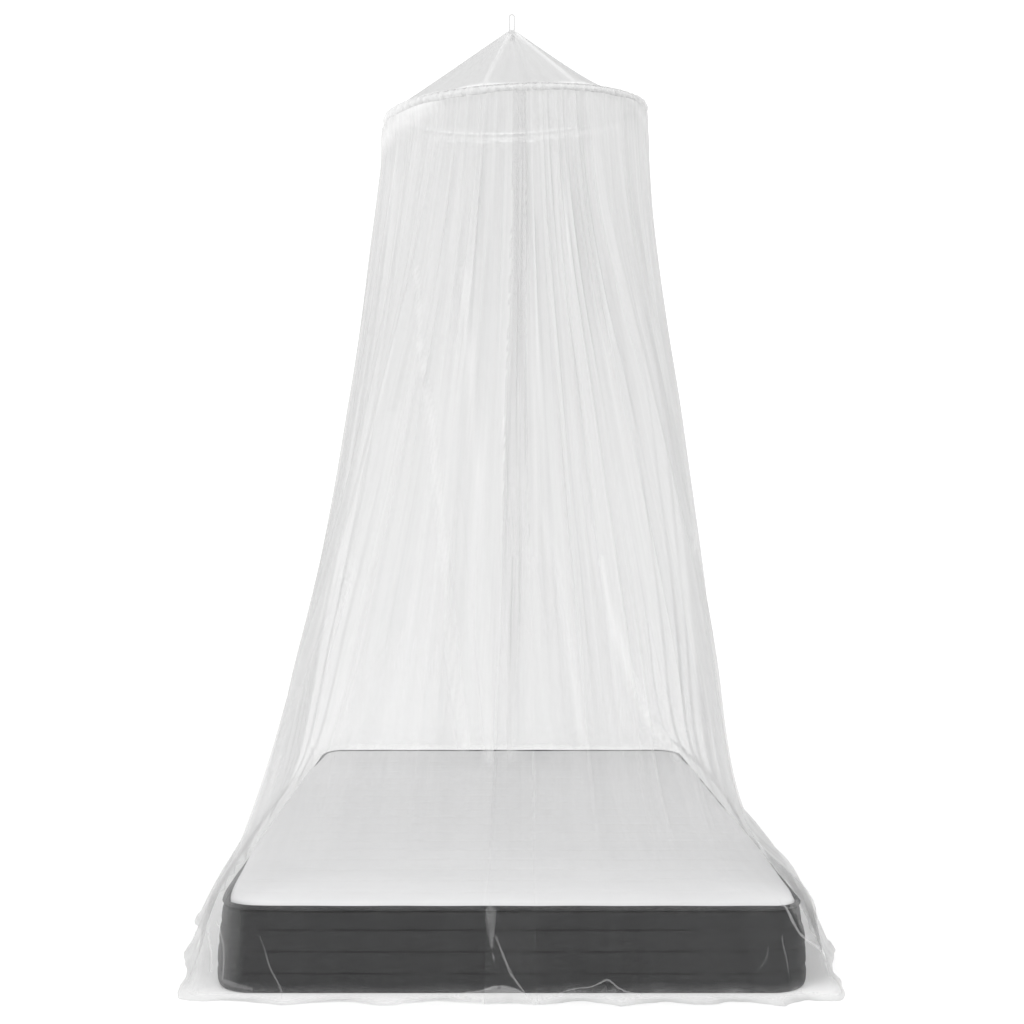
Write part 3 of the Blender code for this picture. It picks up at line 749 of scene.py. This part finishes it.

# Creases and runs of thinner cloth or of painted light, listed as they hang: the turns and
# heights that each runs through, its half widths from first to last, how much it adds to the
# cloth's fullness and painted light there, and how far it stands out as a soft ridge.
Crease = namedtuple("Crease", "line widths fullness whiteness ridge")
CREASES = (
    Crease(
        ((-0.078, 1.19), (-0.074, 0.78), (-0.074, 0.65), (-0.073, 0.47)),
        (0.014, 0.018), 0.9, 0.0, 0.003,
    ),
    Crease(
        (
            (-0.163, 1.92), (-0.156, 1.73), (-0.146, 1.54),
            (-0.130, 1.30), (-0.099, 1.00), (-0.080, 0.80),
        ),
        (0.008, 0.018), -0.5, 0.20, -0.002,
    ),
    Crease(((-0.080, 0.80), (-0.084, 0.47)), (0.018, 0.020), -0.5, 0.16, -0.002),
    Crease(
        ((-0.089, 1.57), (-0.063, 1.29), (-0.055, 1.19), (-0.035, 0.85), (-0.021, 0.47)),
        (0.004, 0.010), 1.8, 0.0, 0.004,
    ),
    Crease(
        ((-0.045, 1.56), (-0.027, 1.22), (-0.020, 1.00), (-0.010, 0.45)),
        (0.010, 0.012), 1.3, 0.0, 0.004,
    ),
    Crease(((-0.054, 1.51), (-0.036, 1.00), (-0.015, 0.46)), (0.030, 0.040), -0.5, 0.08, 0.0),
    Crease(
        ((0.002, 1.83), (-0.001, 1.33), (0.002, 1.16), (0.001, 0.87)),
        (0.003, 0.004), 0.4, 0.0, 0.002,
    ),
    Crease(((0.001, 0.87), (-0.002, 0.45)), (0.005, 0.012), 1.5, 0.0, 0.003),
    Crease(
        ((-0.32, 1.99), (-0.22, 1.965), (-0.15, 1.985), (-0.11, 2.01)),
        (0.044, 0.030), 1.2, 0.34, 0.006,
    ),
    Crease(((0.150, 2.04), (0.200, 2.00), (0.245, 1.95)), (0.014, 0.022), 0.5, 0.12, 0.002),
    Crease(((-0.008, 1.18), (-0.001, 0.87)), (0.003, 0.003), 1.4, 0.0, 0.002),
    Crease(
        ((0.014, 1.68), (0.016, 1.18), (0.016, 0.99), (0.022, 0.80), (0.029, 0.47)),
        (0.004, 0.010), -0.3, 0.22, 0.004,
    ),
    Crease(((0.009, 0.86), (0.012, 0.47)), (0.020, 0.040), -0.7, 0.10, 0.0),
    Crease(
        ((0.039, 1.85), (0.045, 1.71), (0.036, 1.18), (0.039, 1.01), (0.047, 0.72), (0.062, 0.47)),
        (0.007, 0.012), -0.6, 0.25, -0.002,
    ),
    Crease(
        ((0.080, 1.87), (0.081, 1.69), (0.073, 1.48), (0.066, 1.32)),
        (0.014, 0.005), -0.6, 0.20, 0.0,
    ),
    Crease(
        ((0.045, 0.86), (0.051, 0.60), (0.058, 0.52), (0.068, 0.45)),
        (0.008, 0.010), 1.2, 0.0, 0.004,
    ),
    Crease(
        ((0.060, 1.06), (0.063, 0.84), (0.064, 0.60), (0.071, 0.46)),
        (0.008, 0.014), -0.5, 0.10, 0.0,
    ),
    Crease(
        ((0.192, 1.92), (0.186, 1.70), (0.178, 1.50), (0.166, 1.30), (0.150, 1.10), (0.118, 0.90)),
        (0.012, 0.014), -0.5, 0.20, 0.002,
    ),
    Crease(
        ((0.118, 0.90), (0.0925, 0.70), (0.0895, 0.50), (0.0885, 0.35)),
        (0.014, 0.014), -0.4, 0.25, 0.002,
    ),
    Crease(((0.0908, 0.070), (0.0985, 0.030)), (0.004, 0.003), 1.0, 0.15, 0.004),
    Crease(((0.0990, 0.110), (0.1060, 0.040)), (0.005, 0.003), 0.8, 0.30, 0.004),
    Crease(((0.0905, 0.160), (0.0920, 0.090), (0.0915, 0.035)), (0.0026, 0.0040), 4.0, 0.25, 0.0),
    Crease(((-0.0960, 0.150), (-0.1040, 0.040)), (0.006, 0.003), 0.8, 0.15, 0.004),
)

# Narrow edges of doubled cloth, and small patches of it, that show as pale lines and shapes
# where the net hangs past the dark side of the mattress, pale partly by their doubled cloth and
# partly by painted light: the same kind of path and half widths.
Edge = namedtuple("Edge", "line widths fullness")
EDGES = (
    Edge(
        ((-0.0047, 0.129), (-0.0033, 0.102), (-0.0016, 0.075), (0.0009, 0.043), (0.0051, 0.011)),
        (0.0007, 0.0012, 0.0018, 0.0018, 0.0010), 1.05,
    ),
    Edge(
        ((-0.0736, 0.125), (-0.0720, 0.102), (-0.0688, 0.056), (-0.0651, 0.012)),
        (0.0005, 0.0010, 0.0014, 0.0014), 1.2,
    ),
    Edge(((-0.0838, 0.143), (-0.0817, 0.097), (-0.0809, 0.030)), (0.0012, 0.0012), 1.5),
    Edge(((-0.0862, 0.120), (-0.0848, 0.080), (-0.0842, 0.040)), (0.0016, 0.0016), 1.6),
    Edge(
        (
            (0.0798, 0.183), (0.0818, 0.141), (0.0834, 0.121),
            (0.0859, 0.094), (0.0904, 0.069), (0.0948, 0.05),
        ),
        (0.0022, 0.0020), 2.4,
    ),
    Edge(
        ((0.0789, 0.123), (0.0788, 0.099), (0.0799, 0.067), (0.0795, 0.036)),
        (0.0010, 0.0014, 0.0010), 1.6,
    ),
    Edge(((0.0742, 0.109), (0.0732, 0.075), (0.0713, 0.052)), (0.0012, 0.0016), 0.35),
    Edge(
        ((-0.0165, 0.010), (-0.0083, 0.014), (-0.0032, 0.018), (0.0015, 0.015), (0.0058, 0.010)),
        (0.001, 0.007, 0.011, 0.008, 0.001), 1.1,
    ),
    Edge(
        ((-0.0150, 0.012), (-0.0083, 0.021), (-0.0032, 0.028), (0.0015, 0.022), (0.0055, 0.012)),
        (0.0006, 0.0010, 0.0012, 0.0010, 0.0006), 1.1,
    ),
    Edge(
        ((0.0137, 0.012), (0.0243, 0.022), (0.0295, 0.040), (0.0346, 0.019), (0.0389, 0.010)),
        (0.0008, 0.0010, 0.0018, 0.0016, 0.0012), 1.9,
    ),
    Edge(((0.0265, 0.012), (0.0300, 0.020), (0.0337, 0.008)), (0.003, 0.012, 0.003), 0.5),
    Edge(((-0.0062, 0.182), (-0.0058, 0.130), (-0.0056, 0.090)), (0.0125, 0.0060, 0.0010), 0.48),
    Edge(((-0.0084, 0.180), (-0.0060, 0.100)), (0.0008, 0.0006), 0.35),
    Edge(((-0.0041, 0.180), (-0.0055, 0.100)), (0.0008, 0.0006), 0.35),
    Edge(((-0.0056, 0.096), (-0.0047, 0.072)), (0.0012, 0.0008), 0.6),
    Edge(
        ((0.0822, 0.182), (0.0838, 0.154), (0.0850, 0.123), (0.0858, 0.100)),
        (0.013, 0.008, 0.003), 1.0,
    ),
    Edge(((-0.0811, 0.031), (-0.0779, 0.023), (-0.0729, 0.019)), (0.003, 0.005, 0.002), 0.8),
)


def outline_radius(turn, half_width, half_length, squareness):
    """How far a boxy outline is from its middle at this turn."""
    way = outward(turn)
    across = (abs(way.x) / half_width) ** squareness
    along = (abs(way.y) / half_length) ** squareness
    return (across + along) ** (-1 / squareness)


def drop_point(turn, section):
    """The drop without its folds: a circle at the hoop that spreads to the mattress' outline."""
    rightward = min(1, max(0, 0.5 + outward(turn).x))
    reach = section.left + (section.right - section.left) * rightward
    half_width = MATTRESS_WIDTH / 2 + EDGE_CLEARANCE + section.side
    half_length = MATTRESS_LENGTH / 2 + EDGE_CLEARANCE + section.end
    edge = outline_radius(turn, half_width, half_length, section.squareness)
    point = outward(turn) * (DROP_RADIUS + (edge - DROP_RADIUS) * reach)
    belly = section.bulge * max(0, 1 - (point.y / half_length) ** 2)
    point.x += math.copysign(belly, point.x) * min(1, abs(point.x) / (BELLY_SHARE * half_width))
    point.x += HOOP_CENTRE.x * (1 - reach)
    point.z = section.height
    return point


def fold_turn(index, lowness):
    """The turn of a fold's crest, lowness 0 at the seam and 1 at the hem."""
    rounds, place = divmod(index, len(FOLDS))
    fold = FOLDS[place]
    return rounds + fold.top + (fold.hem - fold.top) * lowness


def fold_column(column, lowness):
    """The turn and the share of depth of a column: crest, flank, trough and flank by turns."""
    index, part = divmod(column, 4)
    here, after = FOLDS[index % len(FOLDS)], FOLDS[(index + 1) % len(FOLDS)]
    start = fold_turn(index, lowness)
    gap = fold_turn(index + 1, lowness) - start
    trough = here.rise * min(here.depth, after.depth)
    shares = (0, here.pinch / 2, 0.5, 1 - after.pinch / 2)
    depths = (here.depth, (here.depth + trough) / 2, trough, (after.depth + trough) / 2)
    return start + gap * shares[part], depths[part]


def wall_main_point(column, row):
    """A point of the main folds, with its way out of the net and its turn."""
    ramp = max(0, 1 - (WALL_COLUMNS - column) / (4 * LAP_RAMP_FOLDS))
    if row == len(SECTIONS):
        turn, depth = fold_column(column, 0)
        beyond = NET_THICKNESS + SEAM_GAP + depth * SECTIONS[0].depth / 2 + LAP_STEP * ramp
        return (*sleeve_point(turn, WALL_SEAM_ANGLE, beyond), *outward(turn), turn)
    section = SECTIONS[len(SECTIONS) - 1 - row]
    turn, depth = fold_column(column, 1 - section.height / DROP_TOP)
    point = drop_point(turn, section)
    along = drop_point(turn + TURN_STEP, section) - drop_point(turn - TURN_STEP, section)
    away = Vector((along.y, -along.x, 0)).normalized()
    if row < FLOOR_ROWS:
        point.z = NET_THICKNESS / 2 + LAP_STEP * ramp + HEM_RISE * depth * row
        point += away * depth * section.depth
    else:
        point += away * (depth * section.depth + LAP_STEP * ramp)
    return (*point, *away, turn)


def smooth_between(points, places):
    """A smooth curve through the points of a table's first axis, read at the places."""
    start = np.clip(np.floor(places).astype(int), 0, len(points) - 2)
    share = (places - start).reshape(-1, *([1] * (points.ndim - 1)))
    before = points[np.maximum(start - 1, 0)]
    here = points[start]
    after = points[start + 1]
    beyond = points[np.minimum(start + 2, len(points) - 1)]
    bend = 2 * before - 5 * here + 4 * after - beyond
    twist = 3 * here - before - 3 * after + beyond
    return here + 0.5 * share * (after - before + share * (bend + share * twist))


main_folds = np.array(
    [
        [wall_main_point(column, row) for column in range(WALL_COLUMNS + 1)]
        for row in range(len(SECTIONS) + 1)
    ]
)
row_gaps = np.linalg.norm(np.diff(main_folds[:, :, :3], axis=0), axis=2).mean(axis=1)
travel = np.concatenate(([0], np.cumsum(np.maximum(row_gaps, ROW_LEAST))))
rows = np.interp(np.linspace(0, travel[-1], WALL_ALONG + 1), travel, np.arange(len(travel)))
columns = np.linspace(0, WALL_COLUMNS, WALL_ACROSS + 1)
fine = smooth_between(main_folds, rows)
fine = smooth_between(fine.transpose(1, 0, 2), columns).transpose(1, 0, 2)
place = fine[:, :, :3].copy()
away = fine[:, :, 3:6] * np.array((1, 1, 0))
away /= np.linalg.norm(away, axis=2, keepdims=True)
along_wall = np.stack((-away[:, :, 1], away[:, :, 0], np.zeros(away.shape[:2])), axis=2)
turns = (fine[:, :, 6] + 0.5) % 1 - 0.5
heights = place[:, :, 2].clip(0, None)
radii = np.hypot(place[:, :, 0], place[:, :, 1])

cloth_across = np.linspace(0, 1, WALL_ACROSS + 1)[None, :]
cloth_along = np.linspace(0, 1, WALL_ALONG + 1)[:, None]
depth = np.interp(heights, GATHER_HEIGHTS, GATHER_DEPTHS)
for number, gather in enumerate(GATHERS):
    wide = np.sin(2 * np.pi * (5 * cloth_across + 0.6 * cloth_along + number / 3))
    narrow = np.sin(2 * np.pi * (11 * cloth_across - 0.4 * cloth_along + number / 5))
    swayed = gather.sway * (wide + narrow) + 0.12 * gather.drift * cloth_along
    phase = 2 * np.pi * (gather.count * cloth_across + swayed)
    place += away * (depth * gather.share * np.sin(phase))[:, :, None]
    place += along_wall * (0.8 * depth * gather.share * np.cos(phase))[:, :, None]


def offset_from(line, widths, ends=0):
    """Each point's distance from a line on the wall in half widths, negative to its left.

    With ends at 1 it grows fast past the two ends of the line, and the line stops short there.
    """
    nearest = np.full_like(heights, 1e9)
    offset = np.full_like(heights, 1e9)
    lengths = [math.dist(here, after) for here, after in zip(line, line[1:])]
    marks = np.linspace(0, sum(lengths), len(widths))
    done = 0.0
    for here, after, length in zip(line, line[1:], lengths):
        run_across = (after[0] - here[0]) * 2 * np.pi * radii
        run_up = after[1] - here[1]
        off_across = (turns - here[0]) * 2 * np.pi * radii
        off_up = heights - here[1]
        reach = (off_across * run_across + off_up * run_up) / (run_across**2 + run_up**2)
        share = reach.clip(0, 1)
        distance = np.hypot(off_across - share * run_across, off_up - share * run_up)
        distance = distance * (1 + END_FALL * np.abs(reach - share) * ends)
        side = np.where(off_across * run_up - off_up * run_across < 0, 1, -1)
        half_width = np.interp(done + share * length, marks, widths)
        closer = distance < nearest
        nearest = np.where(closer, distance, nearest)
        offset = np.where(closer, side * distance / half_width, offset)
        done += length
    return offset


fullness_added = np.zeros_like(heights)
whiteness = np.zeros_like(heights)
for crease in CREASES:
    shown = np.exp(-(offset_from(crease.line, crease.widths) ** 2))
    fullness_added += crease.fullness * shown
    whiteness += crease.whiteness * shown
    place += away * (crease.ridge * shown)[:, :, None]

# The skirt is kept clear of the mattress, and the hem lies on the floor.
half_width = MATTRESS_WIDTH / 2 - CORNER_RADIUS
half_length = MATTRESS_LENGTH / 2 - CORNER_RADIUS
over_x = np.maximum(np.abs(place[:, :, 0]) - half_width, 0)
over_y = np.maximum(np.abs(place[:, :, 1]) - half_length, 0)
outside = np.hypot(over_x, over_y)
least = CORNER_RADIUS + NET_BORDER_GAP + np.interp(heights, NET_SWELL_HEIGHTS, (BORDER_SWELL, 0))
short = np.where(heights < NET_BORDER_HEIGHT, (least - outside).clip(0, None), 0)
short = np.where(outside > CORNER_RADIUS / 2, short, 0)
place[:, :, 0] += np.sign(place[:, :, 0]) * short * over_x / np.maximum(outside, 1e-6)
place[:, :, 1] += np.sign(place[:, :, 1]) * short * over_y / np.maximum(outside, 1e-6)
place[:, :, 2] = np.maximum(place[:, :, 2], NET_FLOOR)

# Cloth that the shape doesn't take up is gathered finer than its folds show. It is drawn
# thinner on the flanks of a fold than on its crest, and thin where the two ends lap.
spacing = np.linalg.norm(np.gradient(place, axis=1), axis=2)
facing = np.abs((np.gradient(place, axis=1) * along_wall).sum(axis=2)) / spacing
bunched = spacing.mean(axis=1, keepdims=True) / spacing
bunched = (bunched[:, :-2] + 2 * bunched[:, 1:-1] + bunched[:, 2:]) / 4
bunched = np.pad(bunched, ((0, 0), (1, 1)), mode="edge")
over_end = np.interp(turns, END_TURNS, END_SHARES)
front = np.interp(heights, FULL_HEIGHTS, FULL_AT_FRONT)
back = np.interp(heights, FULL_HEIGHTS, FULL_AT_BACK)
sides = np.interp(heights, FULL_HEIGHTS, FULL_AT_SIDES)
fullness = over_end * np.where(np.abs(turns) < 0.25, front, back) + (1 - over_end) * sides
fullness *= np.interp(turns, SPREAD_TURNS, SPREAD_SHARES)
lapped = (np.abs(turns) < np.abs(turns[:, :1])) | (np.abs(turns) < np.abs(turns[:, -1:]))
drawn_thin = bunched.clip(0.5, 2) ** THIN_BY_BUNCHING * facing.clip(0.4, 1) ** THIN_BY_FACING
fullness *= np.where(lapped, LAP_THINNING, drawn_thin)
fullness = (fullness + fullness_added * fullness.clip(0.3, 4)).clip(0.15, 16)

# Painted light: the net is painted whitest where it pools, low down, along some of its streaks and
# at some turns.
bright = np.zeros_like(heights)
for count, drift in PAINTED_LIGHT_STREAKS:
    sway = 0.3 * np.sin(2 * np.pi * (3 * cloth_across + drift * cloth_along))
    bright += np.sin(2 * np.pi * (count * cloth_across + sway))
whiteness += np.interp(turns, SPREAD_TURNS, SPREAD_PAINTED_LIGHT)
whiteness += np.interp(heights, PAINTED_LIGHT_HEIGHTS, PAINTED_LIGHT_LOW_DOWN)
whiteness += PAINTED_LIGHT_ON_STREAKS * (bright / 2).clip(0, 1)
whiteness += PAINTED_LIGHT_ON_THE_FLOOR * np.exp(-((heights / POOL_HEIGHT) ** 2))
whiteness = whiteness.clip(0, 1)

wall_net = new_net("white net, hanging", 0.12, 0.61, 0.95, EDGES)
wall = sheet_mesh(WALL_ACROSS, WALL_ALONG, lambda column, row: place[row, column], WALL_FLAT)
painted = {"fullness": fullness, "whiteness": whiteness}
for number, edge in enumerate(EDGES):
    painted["edge %d" % number] = offset_from(edge.line, edge.widths, 1).clip(-400, 400)
for name, values in painted.items():

    def value_at(across, along):
        row = round(along / WALL_FLAT[1] * WALL_ALONG)
        return values[row, round(across / WALL_FLAT[0] * WALL_ACROSS)]

    paint(wall, name, value_at)
wall_piece = add_piece("wall_of_net", wall, wall_net, "net", "net_wall")


# ---- Crown of the net ----
# A cone of the same net from the sleeve up to the knot. It sags a little between the tapes and
# is pleated where it is gathered in at the peak.
CROWN_SEAM_ANGLE = math.radians(90)
PEAK = Vector((0.020, 0.0, 2.276))
PEAK_KNOT_RADIUS = 0.0094
PIECE_GAP = 0.0004
CROWN_STEPS = 720
CROWN_ROWS = 44
CROWN_SAG = 0.016
CROWN_RIGHT_SAG = 0.012
CROWN_SAG_LOWNESS = 0.6
CROWN_PLEATS = 14
CROWN_PLEAT_DEPTH = 0.0025
CROWN_SMALL_PLEATS = 41
CROWN_SMALL_PLEAT_DEPTH = 0.0012
CROWN_FLAT = (0.80, 0.80)
CROWN_FULLNESS = 5.5
CROWN_PAINTED_LIGHT_AT_SEAM = 0.90
CROWN_SEAM_SHARE = 0.05
CROWN_PAINTED_LIGHT_AT_KNOT = 0.2
TAPE_PULL = 0.04
TAPE_SHADE = 0.0042
TAPE_TURNS = {"front_left": -0.042, "front_right": 0.072, "back_left": 0.593, "back_right": 0.466}
CROWN_PAINTED_LIGHT_ON_TAPES = {"front_left": 0.60, "front_right": 0.85}

crown_net = new_net("white net, crown", 0.20, 0.61, 0.95)


def crown_point(turn, share):
    """A point of the crown's cloth, share 0 at its rim and 1 at the peak."""
    rim = sleeve_point(turn, CROWN_SEAM_ANGLE, NET_THICKNESS + SEAM_GAP)
    neck = PEAK_KNOT_RADIUS + PIECE_GAP + NET_THICKNESS / 2
    top = PEAK + neck * outward(turn)
    middle = math.sin(math.pi * share**CROWN_SAG_LOWNESS)
    loose = 1 - max(swell(turn, taped, TAPE_PULL) for taped in TAPE_TURNS.values())
    pleat = CROWN_PLEAT_DEPTH * math.sin(2 * math.pi * CROWN_PLEATS * turn) * middle
    small = math.sin(2 * math.pi * CROWN_SMALL_PLEATS * turn + 2 * share) * (1 - share) ** 0.5
    small *= CROWN_SMALL_PLEAT_DEPTH * min(1, 9 * share)
    sag = (CROWN_SAG + CROWN_RIGHT_SAG * outward(turn).x) * middle * loose
    return rim.lerp(top, share) - Vector((0, 0, sag - pleat - small))


def crown_place(column, row):
    return crown_point(column / CROWN_STEPS, row / CROWN_ROWS)


def crown_over_tape(across, along, side):
    """1 where the crown lies over one of the front tapes, falling away to 0 beside it."""
    spread = TAPE_SHADE / (2 * math.pi * HOOP_RADIUS * max(0.08, 1 - along / CROWN_FLAT[1]))
    return swell(across / CROWN_FLAT[0], TAPE_TURNS[side], spread)


def crown_fullness(across, along):
    """The net is drawn thin over the tapes, and its pleats are thin just under the knot."""
    taped = max(crown_over_tape(across, along, side) for side in CROWN_PAINTED_LIGHT_ON_TAPES)
    return CROWN_FULLNESS * (1 - 0.45 * taped) * (1 - 0.5 * (along / CROWN_FLAT[1]) ** 6)


def crown_painted_light(across, along):
    """Painted light: the net is painted whiter where it lies on a front tape, and at its seam and
    under the knot, where it paints over shade.
    """
    share = along / CROWN_FLAT[1]
    seam = CROWN_PAINTED_LIGHT_AT_SEAM * max(0, 1 - share / CROWN_SEAM_SHARE)
    knot = CROWN_PAINTED_LIGHT_AT_KNOT * max(0, 6 * share - 5)
    painted_tape_lights = CROWN_PAINTED_LIGHT_ON_TAPES.items()
    taped = max(white * crown_over_tape(across, along, side) for side, white in painted_tape_lights)
    return max(taped, seam, knot)


crown = sheet_mesh(CROWN_STEPS, CROWN_ROWS, crown_place, CROWN_FLAT, closed=True)
paint(crown, "fullness", crown_fullness)
paint(crown, "whiteness", crown_painted_light)
crown_piece = add_piece("crown_of_net", crown, crown_net, "net", "net_crown")


# ---- Tapes ----
# Four narrow woven tapes run from the knot to the sleeve under the crown and carry the hoop.
# Each is pulled nearly straight and turns a little about its length.
TAPE_WIDTH = 0.0065
TAPE_SEAM_ANGLE = math.radians(130)
TAPE_STEPS = 60
TAPE_SAG = 0.002
TAPE_DROP = 0.010
TAPE_START_GAP = 0.0008

tape_cloth, shader, across, along = new_material("white woven tape", 0.85)
weave = across.to_lines(0.0012) * along.to_lines(0.0016)
into(shader, "Base Color", weave.colour((0.94, 0.94, 0.94), (0.99, 0.99, 0.99)))
bump(shader, weave, 0.0002, 0.6)

for side, turn in TAPE_TURNS.items():
    start = PEAK + outward(turn) * (PEAK_KNOT_RADIUS + TAPE_START_GAP) - Vector((0, 0, TAPE_DROP))
    end = sleeve_point(turn, TAPE_SEAM_ANGLE, NET_THICKNESS / 2 + SEAM_GAP)
    run = end - start
    edgeways = outward(turn + 0.25)

    def tape_place(column, row):
        share = column / TAPE_STEPS
        sag = TAPE_SAG * math.sin(math.pi * share)
        twist = 0.5 * math.sin(math.pi * share)
        wide = edgeways * math.cos(twist) + Vector((0, 0, math.sin(twist)))
        return start + run * share - Vector((0, 0, sag)) + wide * TAPE_WIDTH * (row / 4 - 0.5)

    tape = sheet_mesh(TAPE_STEPS, 4, tape_place, (run.length, TAPE_WIDTH))
    add_piece("woven_tape_" + side, tape, tape_cloth, "tape", "tape_" + side)


# ---- Hanging loop ----
# One white cord folded in two, whose ends go into the knot that is whipped round the net and
# the tapes at the peak.
LOOP_HEIGHT = 0.048
LOOP_HALF_WIDTH = 0.0065
LOOP_CORD_RADIUS = 0.0018
LOOP_TAIL = 0.005
LOOP_STEPS = 150
LOOP_SIDES = 16
LOOP_BEND_STEPS = 40
LOOP_STRANDS = 3
LOOP_TWISTS = 22
LOOP_FLAT_WIDTH = 0.011
KNOT_HEIGHT = 0.030
KNOT_DROP = 0.010
KNOT_STEPS = 48
KNOT_ROWS = 90
KNOT_TURNS = 13
KNOT_ROUND = 0.06


def twisted_fibre(name, dark, pale):
    """White fibre that is twisted, with painted shade that makes it a little darker between its
    hairs.
    """
    made, shader, across, along = new_material(name, 0.85)
    hairs = noise(across, along, 900.0, 300.0)
    into(shader, "Base Color", hairs.colour((dark,) * 3, (pale,) * 3))
    return made


cord_cloth = twisted_fibre("white cord", 0.48, 0.74)
whipping = twisted_fibre("white whipping twine", 0.62, 0.76)

loop_route = [Vector((-LOOP_HALF_WIDTH, 0, -LOOP_TAIL))]
bend_height = LOOP_HEIGHT - LOOP_HALF_WIDTH - LOOP_CORD_RADIUS
for step in range(LOOP_BEND_STEPS + 1):
    angle = math.pi * (1 - step / LOOP_BEND_STEPS)
    bend = Vector((math.cos(angle), 0, math.sin(angle))) * LOOP_HALF_WIDTH
    loop_route.append(Vector((0, 0, bend_height)) + bend)
loop_route.append(Vector((LOOP_HALF_WIDTH, 0, -LOOP_TAIL)))
loop_gaps = [(after - here).length for here, after in zip(loop_route, loop_route[1:])]
loop_length = sum(loop_gaps)


def loop_point(distance):
    """A point of the folded cord's middle line, and its way along."""
    for here, after, gap in zip(loop_route, loop_route[1:], loop_gaps):
        if distance <= gap or after is loop_route[-1]:
            return here.lerp(after, min(1, distance / gap)), (after - here).normalized()
        distance -= gap


def loop_place(column, row):
    share = column / LOOP_STEPS
    middle, way = loop_point(share * loop_length)
    angle = 2 * math.pi * row / LOOP_SIDES
    lobe = abs(math.cos(LOOP_STRANDS * angle / 2 - math.pi * LOOP_TWISTS * share))
    radius = LOOP_CORD_RADIUS * (0.82 + 0.18 * lobe)
    sideways = Vector((0, 1, 0))
    across = sideways * math.cos(angle) + way.cross(sideways) * math.sin(angle)
    return PEAK + middle + radius * across


loop_flat = (loop_length, LOOP_FLAT_WIDTH)
loop = sheet_mesh(LOOP_STEPS, LOOP_SIDES, loop_place, loop_flat, closed_rows=True)
close_up(loop)
add_piece("hanging_cord", loop, cord_cloth, "tape", "hanging_loop")


def knot_place(column, row):
    share = row / KNOT_ROWS
    turn = column / KNOT_STEPS
    wound = abs(math.sin(math.pi * (KNOT_TURNS * share + turn)))
    ends = min(1, 9 * share, 9 * (1 - share)) ** 0.5
    radius = PEAK_KNOT_RADIUS * (0.90 + 0.10 * wound) * ends
    return PEAK + outward(turn) * radius + Vector((0, 0, KNOT_HEIGHT * (share - 0.5) - KNOT_DROP))


knot = sheet_mesh(KNOT_STEPS, KNOT_ROWS, knot_place, (KNOT_ROUND, KNOT_HEIGHT), closed=True)
close_up(knot)
add_piece("whipped_knot", knot, whipping, "tape", "hanging_loop")


# ---- Floor and light ----
# A plain white floor that runs into a white room, with a soft lamp at the upper left and a
# weaker one at the right.
FLOOR_SIZE = 60
FLOOR_WHITE = 0.99
ROOM_LIGHT = 1.15

floor_paint = bpy.data.materials.new("white floor")
floor_paint.use_nodes = True
floor_shader = floor_paint.node_tree.nodes["Principled BSDF"]
floor_shader.inputs["Base Color"].default_value = (FLOOR_WHITE, FLOOR_WHITE, FLOOR_WHITE, 1)
floor_shader.inputs["Roughness"].default_value = 1.0
floor_shader.inputs["Specular IOR Level"].default_value = 0.0
floor_shape = bmesh.new()
bmesh.ops.create_grid(floor_shape, x_segments=1, y_segments=1, size=FLOOR_SIZE / 2)
floor_mesh = bpy.data.meshes.new("floor")
floor_shape.to_mesh(floor_mesh)
floor_shape.free()
floor_mesh.materials.append(floor_paint)
floor = bpy.data.objects.new("floor", floor_mesh)
bpy.context.scene.collection.objects.link(floor)

world = bpy.data.worlds.new("white room")
world.use_nodes = True
room_light = world.node_tree.nodes["Background"]
room_light.inputs["Color"].default_value = (1, 1, 1, 1)
room_light.inputs["Strength"].default_value = ROOM_LIGHT
bpy.context.scene.world = world


def add_lamp(name, place, aim, size, power):
    lamp_data = bpy.data.lights.new(name, "AREA")
    lamp_data.shape = "SQUARE"
    lamp_data.size = size
    lamp_data.energy = power
    lamp = bpy.data.objects.new(name, lamp_data)
    lamp.location = place
    lamp.rotation_euler = (Vector(aim) - Vector(place)).to_track_quat("-Z", "Y").to_euler()
    bpy.context.scene.collection.objects.link(lamp)


add_lamp("key lamp", (-2.2, -3.0, 2.6), (0, 0, 0.6), 1.8, 29)
add_lamp("fill lamp", (3.0, -2.2, 2.2), (0, -0.4, 0.6), 2.0, 12)

bpy.context.scene.view_settings.view_transform = "Standard"
bpy.context.scene.cycles.transparent_max_bounces = 64
